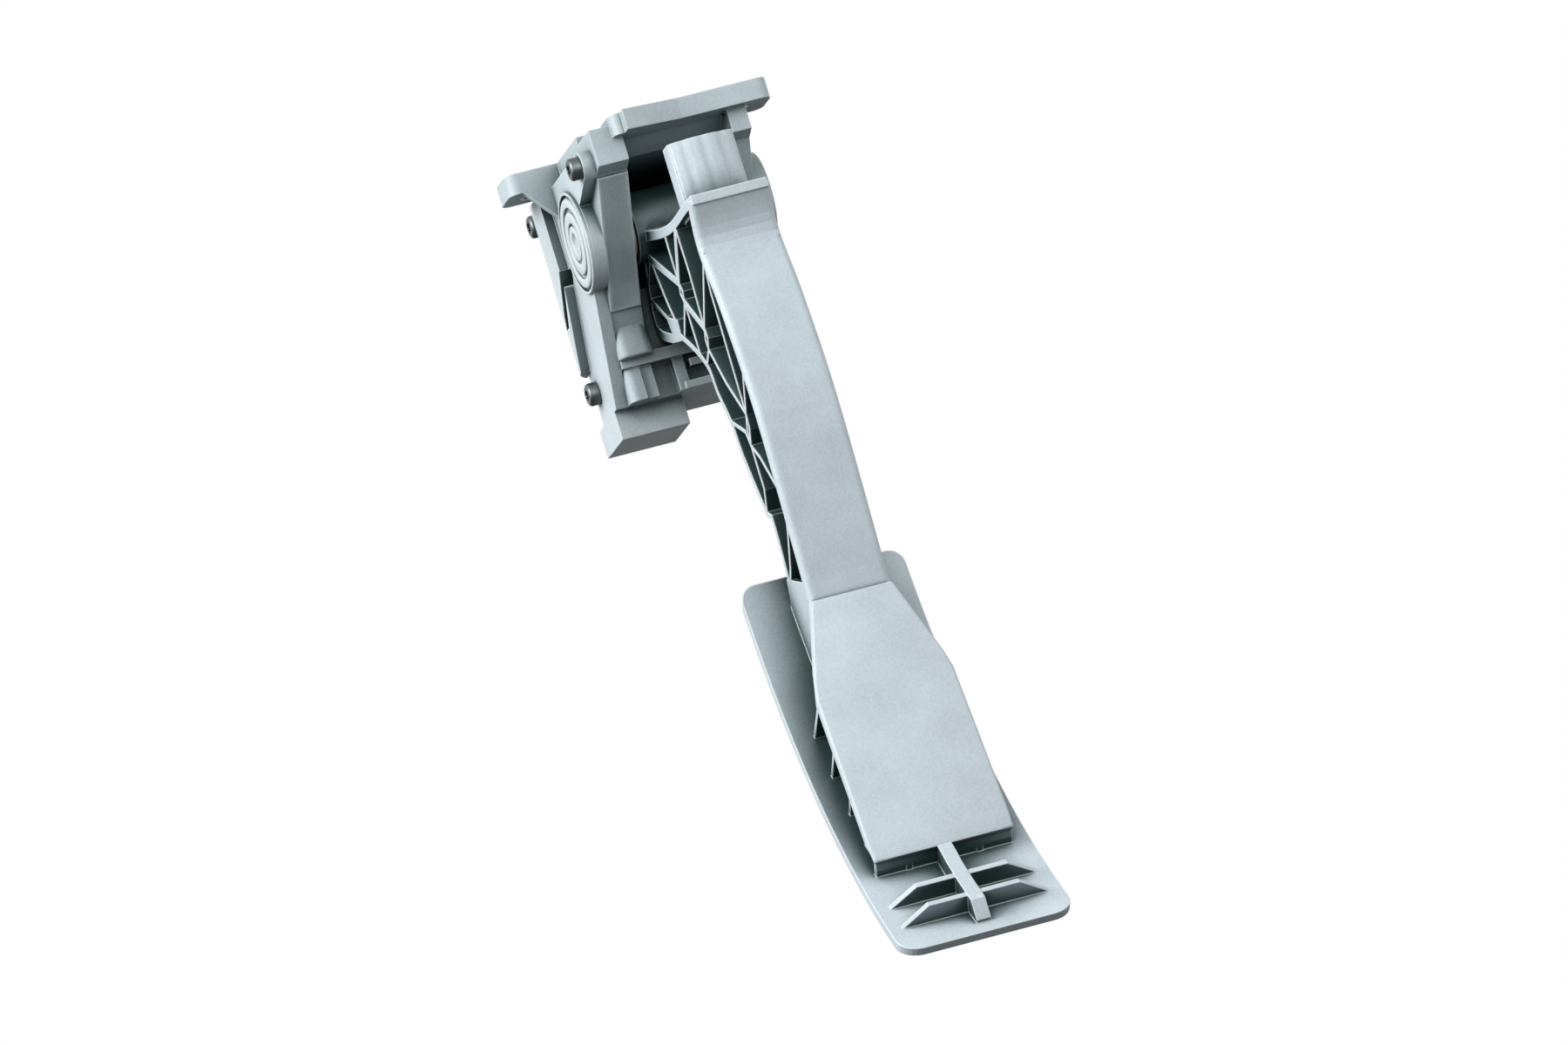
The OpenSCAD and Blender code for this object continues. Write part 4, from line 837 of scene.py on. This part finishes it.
class PEDAL_OT_finishes(bpy.types.Operator):
    """Gives every CAD node and every modelled piece its finish"""
    bl_idname = "pedal.finishes"
    bl_label = "Finishes"

    def execute(self, context):
        colours = context.scene.pedal_colours
        # The painted pocket shade and the painted edge highlight that the three mouldings share
        painted_light = (colours.painted_pocket_shade, colours.edge)
        # Housing: the dullest of the three mouldings
        body = moulded_plastic("glass_filled_nylon_housing", colours.body, *painted_light,
                               grain_mm=0.9, roughness=0.55, painted_shade_range=(0.2, 0.95),
                               edge_mm=0.45)
        # Cover: a shade paler, with a little more sheen
        cover = moulded_plastic("glass_filled_nylon_cover", colours.cover, *painted_light,
                                grain_mm=0.9, roughness=0.5, painted_shade_range=(0.42, 0.97),
                                edge_mm=0.45)
        # Arm: pale, with a wider painted highlight on its ribs' edges
        arm = moulded_plastic("glass_filled_nylon_arm", colours.arm, *painted_light, grain_mm=0.8,
                              roughness=0.5, painted_shade_range=(0.5, 0.88), edge_mm=0.65)
        # Nitrile rubber, moulded: soft black with a dull sheen
        rubber = plain_finish("nitrile_rubber", colours.rubber, 0.75, speck_mm=0.5)
        # Zinc plated steel: pale grey with a fine frosted shine
        zinc = plain_finish("zinc_plated_steel", colours.zinc, 0.32, 0.25, metallic=1.0)
        # Dark passivated zinc on the screws: smoky grey with a dull metal shine
        dark_zinc = plain_finish("dark_passivated_zinc", colours.screw, 0.42, 0.25,
                                 metallic=1.0)
        # Phosphated steel: near black and slightly oily
        black = plain_finish("phosphated_steel", colours.ring, 0.45, 0.2, metallic=0.6)
        # Glass epoxy board under green solder mask: glossy
        board = plain_finish("solder_mask_board", colours.board, 0.25, speck_mm=1.5)
        # Epoxy chip resin, moulded: matt black
        chip = plain_finish("chip_epoxy", colours.chip, 0.6, speck_mm=0.2)
        # Tin on brass: pale and soft in its shine
        tin = plain_finish("tinned_brass", colours.pin, 0.28, 0.3, metallic=1.0)
        # Acetal bush, moulded: waxy off-white
        acetal = plain_finish("natural_acetal", colours.bush, 0.4, speck_mm=1.0)
        # Drawn spring wire: dull grey with a satin shine
        wire = plain_finish("drawn_spring_wire", colours.wire, 0.35, 0.15, metallic=1.0)
        # Carbon-filled nylon, moulded: dark grey and matt
        dark = plain_finish("carbon_filled_nylon", colours.inside, 0.55, speck_mm=0.7)
        # Sintered ferrite: dull charcoal with open grain
        ferrite = plain_finish("sintered_ferrite", colours.magnet, 0.6, 0.4, metallic=0.2)
        # Pressed friction lining: brown-grey and dry
        lining = plain_finish("pressed_lining", colours.lining, 0.8, speck_mm=0.8)
        finish_of = {
            "housing": body, "side_cover": cover, "pivot_cap": cover, "pedal_arm": arm,
            "cover_gasket": rubber, "spring_seat": rubber, "idle_bumper": rubber,
            "travel_bumper": rubber, "cover_screws": dark_zinc, "shaft_ring": black,
            "mount_sleeves": zinc, "pivot_shaft": zinc, "circuit_board": board,
            "sensor_chips": chip, "connector_pins": tin, "left_bush": acetal,
            "right_bush": acetal, "outer_spring": wire, "inner_spring": wire,
            "magnet_holder": dark, "spring_cup": dark, "rotor_magnet": ferrite,
            "friction_shoes": lining,
        }
        for name, node in NODES.items():
            dress(node, finish_of[name])
        for piece in context.scene.objects:
            if "finish" in piece:
                dress(piece, finish_of[piece["finish"]])
        return {"FINISHED"}


# Stage

# The photograph's axes in the row frame: to the right, upwards and towards the viewer
RIGHT = Vector((0.940, -0.185, -0.287)).normalized()
BACK = RIGHT.cross(Vector((0.243, -0.2275, 0.943))).normalized()
UP = BACK.cross(RIGHT)
# The middle of the upper edge of the arm's face, and its pixel in the photograph
FACE_TOP = Vector((0, -77, -39.5)) * MM
FACE_TOP_PIXEL = (837.8, 220.0)
# The photograph's size, scale and focal length in pixels
PHOTO_SIZE = (1800, 1200)
PIXELS_PER_MM = 3.8
FOCAL_PIXELS = 24000
# The camera's sensor in mm, and how far the camera sees in metres
SENSOR = 36
CAMERA_REACH = 20

# Each lamp's place and width in metres and its power in watts, and the place they point at
LAMPS = {
    "key_left": ((-1.35, -0.4, 0.5), 0.9, 33),
    "front_soft": ((0.0, -1.75, 0.3), 1.2, 11),
    "fill_right": ((1.1, -1.1, 0.5), 0.9, 9),
    "back_soft": ((0.4, 1.5, 0.7), 1.2, 8),
}
LAMPS_AIM = Vector((0, -0.03, -0.12))
# The world's light on the object: how it grows with the height of the direction it comes from
WORLD_LIGHT = {"From Min": -0.6, "From Max": 0.9, "To Min": 0.05, "To Max": 0.38}

# The floor's width and height in metres
FLOOR_SIZE = 8
FLOOR_HEIGHT = -1.3
# Width of the paper's clouds, how much of its light it throws back up and how much it glows
PAPER_MM = 2.5
PAPER_THROW = 0.18
PAPER_GLOW = 0.35
WHITE = (1, 1, 1, 1)


class PEDAL_OT_stage(bpy.types.Operator):
    """Sets up the camera, the floor and soft studio light"""
    bl_idname = "pedal.stage"
    bl_label = "Stage"

    def execute(self, context):
        scene = context.scene
        self.add_camera(scene)
        self.add_world(scene)
        self.add_lamps(scene)
        self.add_floor()
        scene.view_settings.view_transform = "Standard"
        return {"FINISHED"}

    def add_camera(self, scene):
        """The camera stands where the photograph was taken from and frames it alike."""
        camera = bpy.data.objects.new("photo_camera", bpy.data.cameras.new("photo_camera"))
        scene.collection.objects.link(camera)
        aside = (PHOTO_SIZE[0] / 2 - FACE_TOP_PIXEL[0]) / PIXELS_PER_MM * MM
        below = (PHOTO_SIZE[1] / 2 - FACE_TOP_PIXEL[1]) / PIXELS_PER_MM * MM
        away = FOCAL_PIXELS / PIXELS_PER_MM * MM
        spot = FACE_TOP + RIGHT * aside - UP * below + BACK * away
        turn = Matrix((RIGHT, UP, BACK)).transposed().to_4x4()
        camera.matrix_world = Matrix.Translation(spot) @ turn
        camera.data.lens = FOCAL_PIXELS / PHOTO_SIZE[0] * SENSOR
        camera.data.sensor_width = SENSOR
        camera.data.clip_end = CAMERA_REACH
        scene.camera = camera

    def add_world(self, scene):
        """The world is white where it is seen or mirrored and softer as light."""
        world = bpy.data.worlds.new("studio")
        scene.world = world
        world.use_nodes = True
        tree = world.node_tree
        tree.nodes.clear()
        path = tree.nodes.new("ShaderNodeLightPath")
        seen = add(tree, "ShaderNodeMath", {0: path.outputs["Is Camera Ray"],
                   1: path.outputs["Is Glossy Ray"]}, operation="MAXIMUM")
        seen = add(tree, "ShaderNodeMath", {0: seen.outputs[0],
                   1: path.outputs["Is Transmission Ray"]}, operation="MAXIMUM")
        where = tree.nodes.new("ShaderNodeTexCoord").outputs["Generated"]
        height = add(tree, "ShaderNodeSeparateXYZ", {0: where})
        sky = add(tree, "ShaderNodeMapRange", {**WORLD_LIGHT, "Value": height.outputs["Z"]})
        strength = add(tree, "ShaderNodeMix", {"Factor": seen.outputs[0], 2: sky.outputs[0],
                       3: 1.0})
        light = add(tree, "ShaderNodeBackground", {"Color": WHITE,
                    "Strength": strength.outputs[0]})
        add(tree, "ShaderNodeOutputWorld", {0: light.outputs[0]})

    def add_lamps(self, scene):
        """Large area lamps point at the middle of the pedal."""
        for name, (place, size, power) in LAMPS.items():
            lamp = bpy.data.lights.new(name, "AREA")
            lamp.size = size
            lamp.energy = power
            holder = bpy.data.objects.new(name, lamp)
            scene.collection.objects.link(holder)
            holder.location = place
            holder.rotation_euler = (LAMPS_AIM - Vector(place)).to_track_quat(
                "-Z", "Y").to_euler()

    def add_floor(self):
        """The floor is pale paper far below the pedal, which keeps its shadow."""
        deselect()
        bpy.ops.mesh.primitive_plane_add(size=FLOOR_SIZE, location=(0, 0, FLOOR_HEIGHT))
        floor = bpy.context.object
        floor.name = "studio_floor"
        settle(floor)
        # Matt studio paper: nearly white, with a faint cloudy tone
        material, tree, output, place = new_material("pale_studio_paper")
        path = tree.nodes.new("ShaderNodeLightPath")
        grain = add(tree, "ShaderNodeTexNoise", {"Vector": place, "Scale": 1000 / PAPER_MM})
        tint = add(tree, "ShaderNodeMapRange", {"Value": grain.outputs["Fac"],
                   "To Min": 0.86, "To Max": 0.9})
        # Only the camera sees the whole tone and the glow
        dull = add(tree, "ShaderNodeMath", {0: tint.outputs[0], 1: PAPER_THROW},
                   operation="MULTIPLY")
        shade = add(tree, "ShaderNodeMix", {"Factor": path.outputs["Is Camera Ray"],
                    2: dull.outputs[0], 3: tint.outputs[0]})
        paper = add(tree, "ShaderNodeBsdfDiffuse", {"Color": shade.outputs[0]})
        glow = add(tree, "ShaderNodeEmission", {"Color": WHITE, "Strength": PAPER_GLOW})
        both = add(tree, "ShaderNodeAddShader", {0: paper.outputs[0], 1: glow.outputs[0]})
        mixed = add(tree, "ShaderNodeMixShader", {0: path.outputs["Is Camera Ray"],
                    1: paper.outputs[0], 2: both.outputs[0]})
        tree.links.new(mixed.outputs[0], output.inputs[0])
        dress(floor, material)


class PEDAL_PT_panel(bpy.types.Panel):
    """Lists the pedal's pieces in the sidebar"""
    bl_idname = "PEDAL_PT_panel"
    bl_label = "Accelerator pedal"
    bl_space_type = "VIEW_3D"
    bl_region_type = "UI"
    bl_category = "Pedal"

    def draw(self, context):
        for step in STEPS:
            self.layout.operator(step.bl_idname)


STEPS = (PEDAL_OT_cover_screws, PEDAL_OT_mount_sleeves, PEDAL_OT_shaft_ring, PEDAL_OT_pivot_cap,
         PEDAL_OT_cheek_facing, PEDAL_OT_stop_block, PEDAL_OT_tower_front, PEDAL_OT_box_plate,
         PEDAL_OT_springs, PEDAL_OT_finishes, PEDAL_OT_stage)
CLASSES = (PedalSizes, PedalColours, *STEPS, PEDAL_PT_panel)


def register():
    for each in CLASSES:
        bpy.utils.register_class(each)
    bpy.types.Scene.pedal_sizes = bpy.props.PointerProperty(type=PedalSizes)
    bpy.types.Scene.pedal_colours = bpy.props.PointerProperty(type=PedalColours)


def unregister():
    del bpy.types.Scene.pedal_colours
    del bpy.types.Scene.pedal_sizes
    for each in reversed(CLASSES):
        bpy.utils.unregister_class(each)


def main():
    register()
    for step in STEPS:
        group, name = step.bl_idname.split(".")
        if "FINISHED" not in getattr(getattr(bpy.ops, group), name)():
            raise RuntimeError(f"{step.bl_label} didn't finish")


if __name__ == "__main__":
    main()
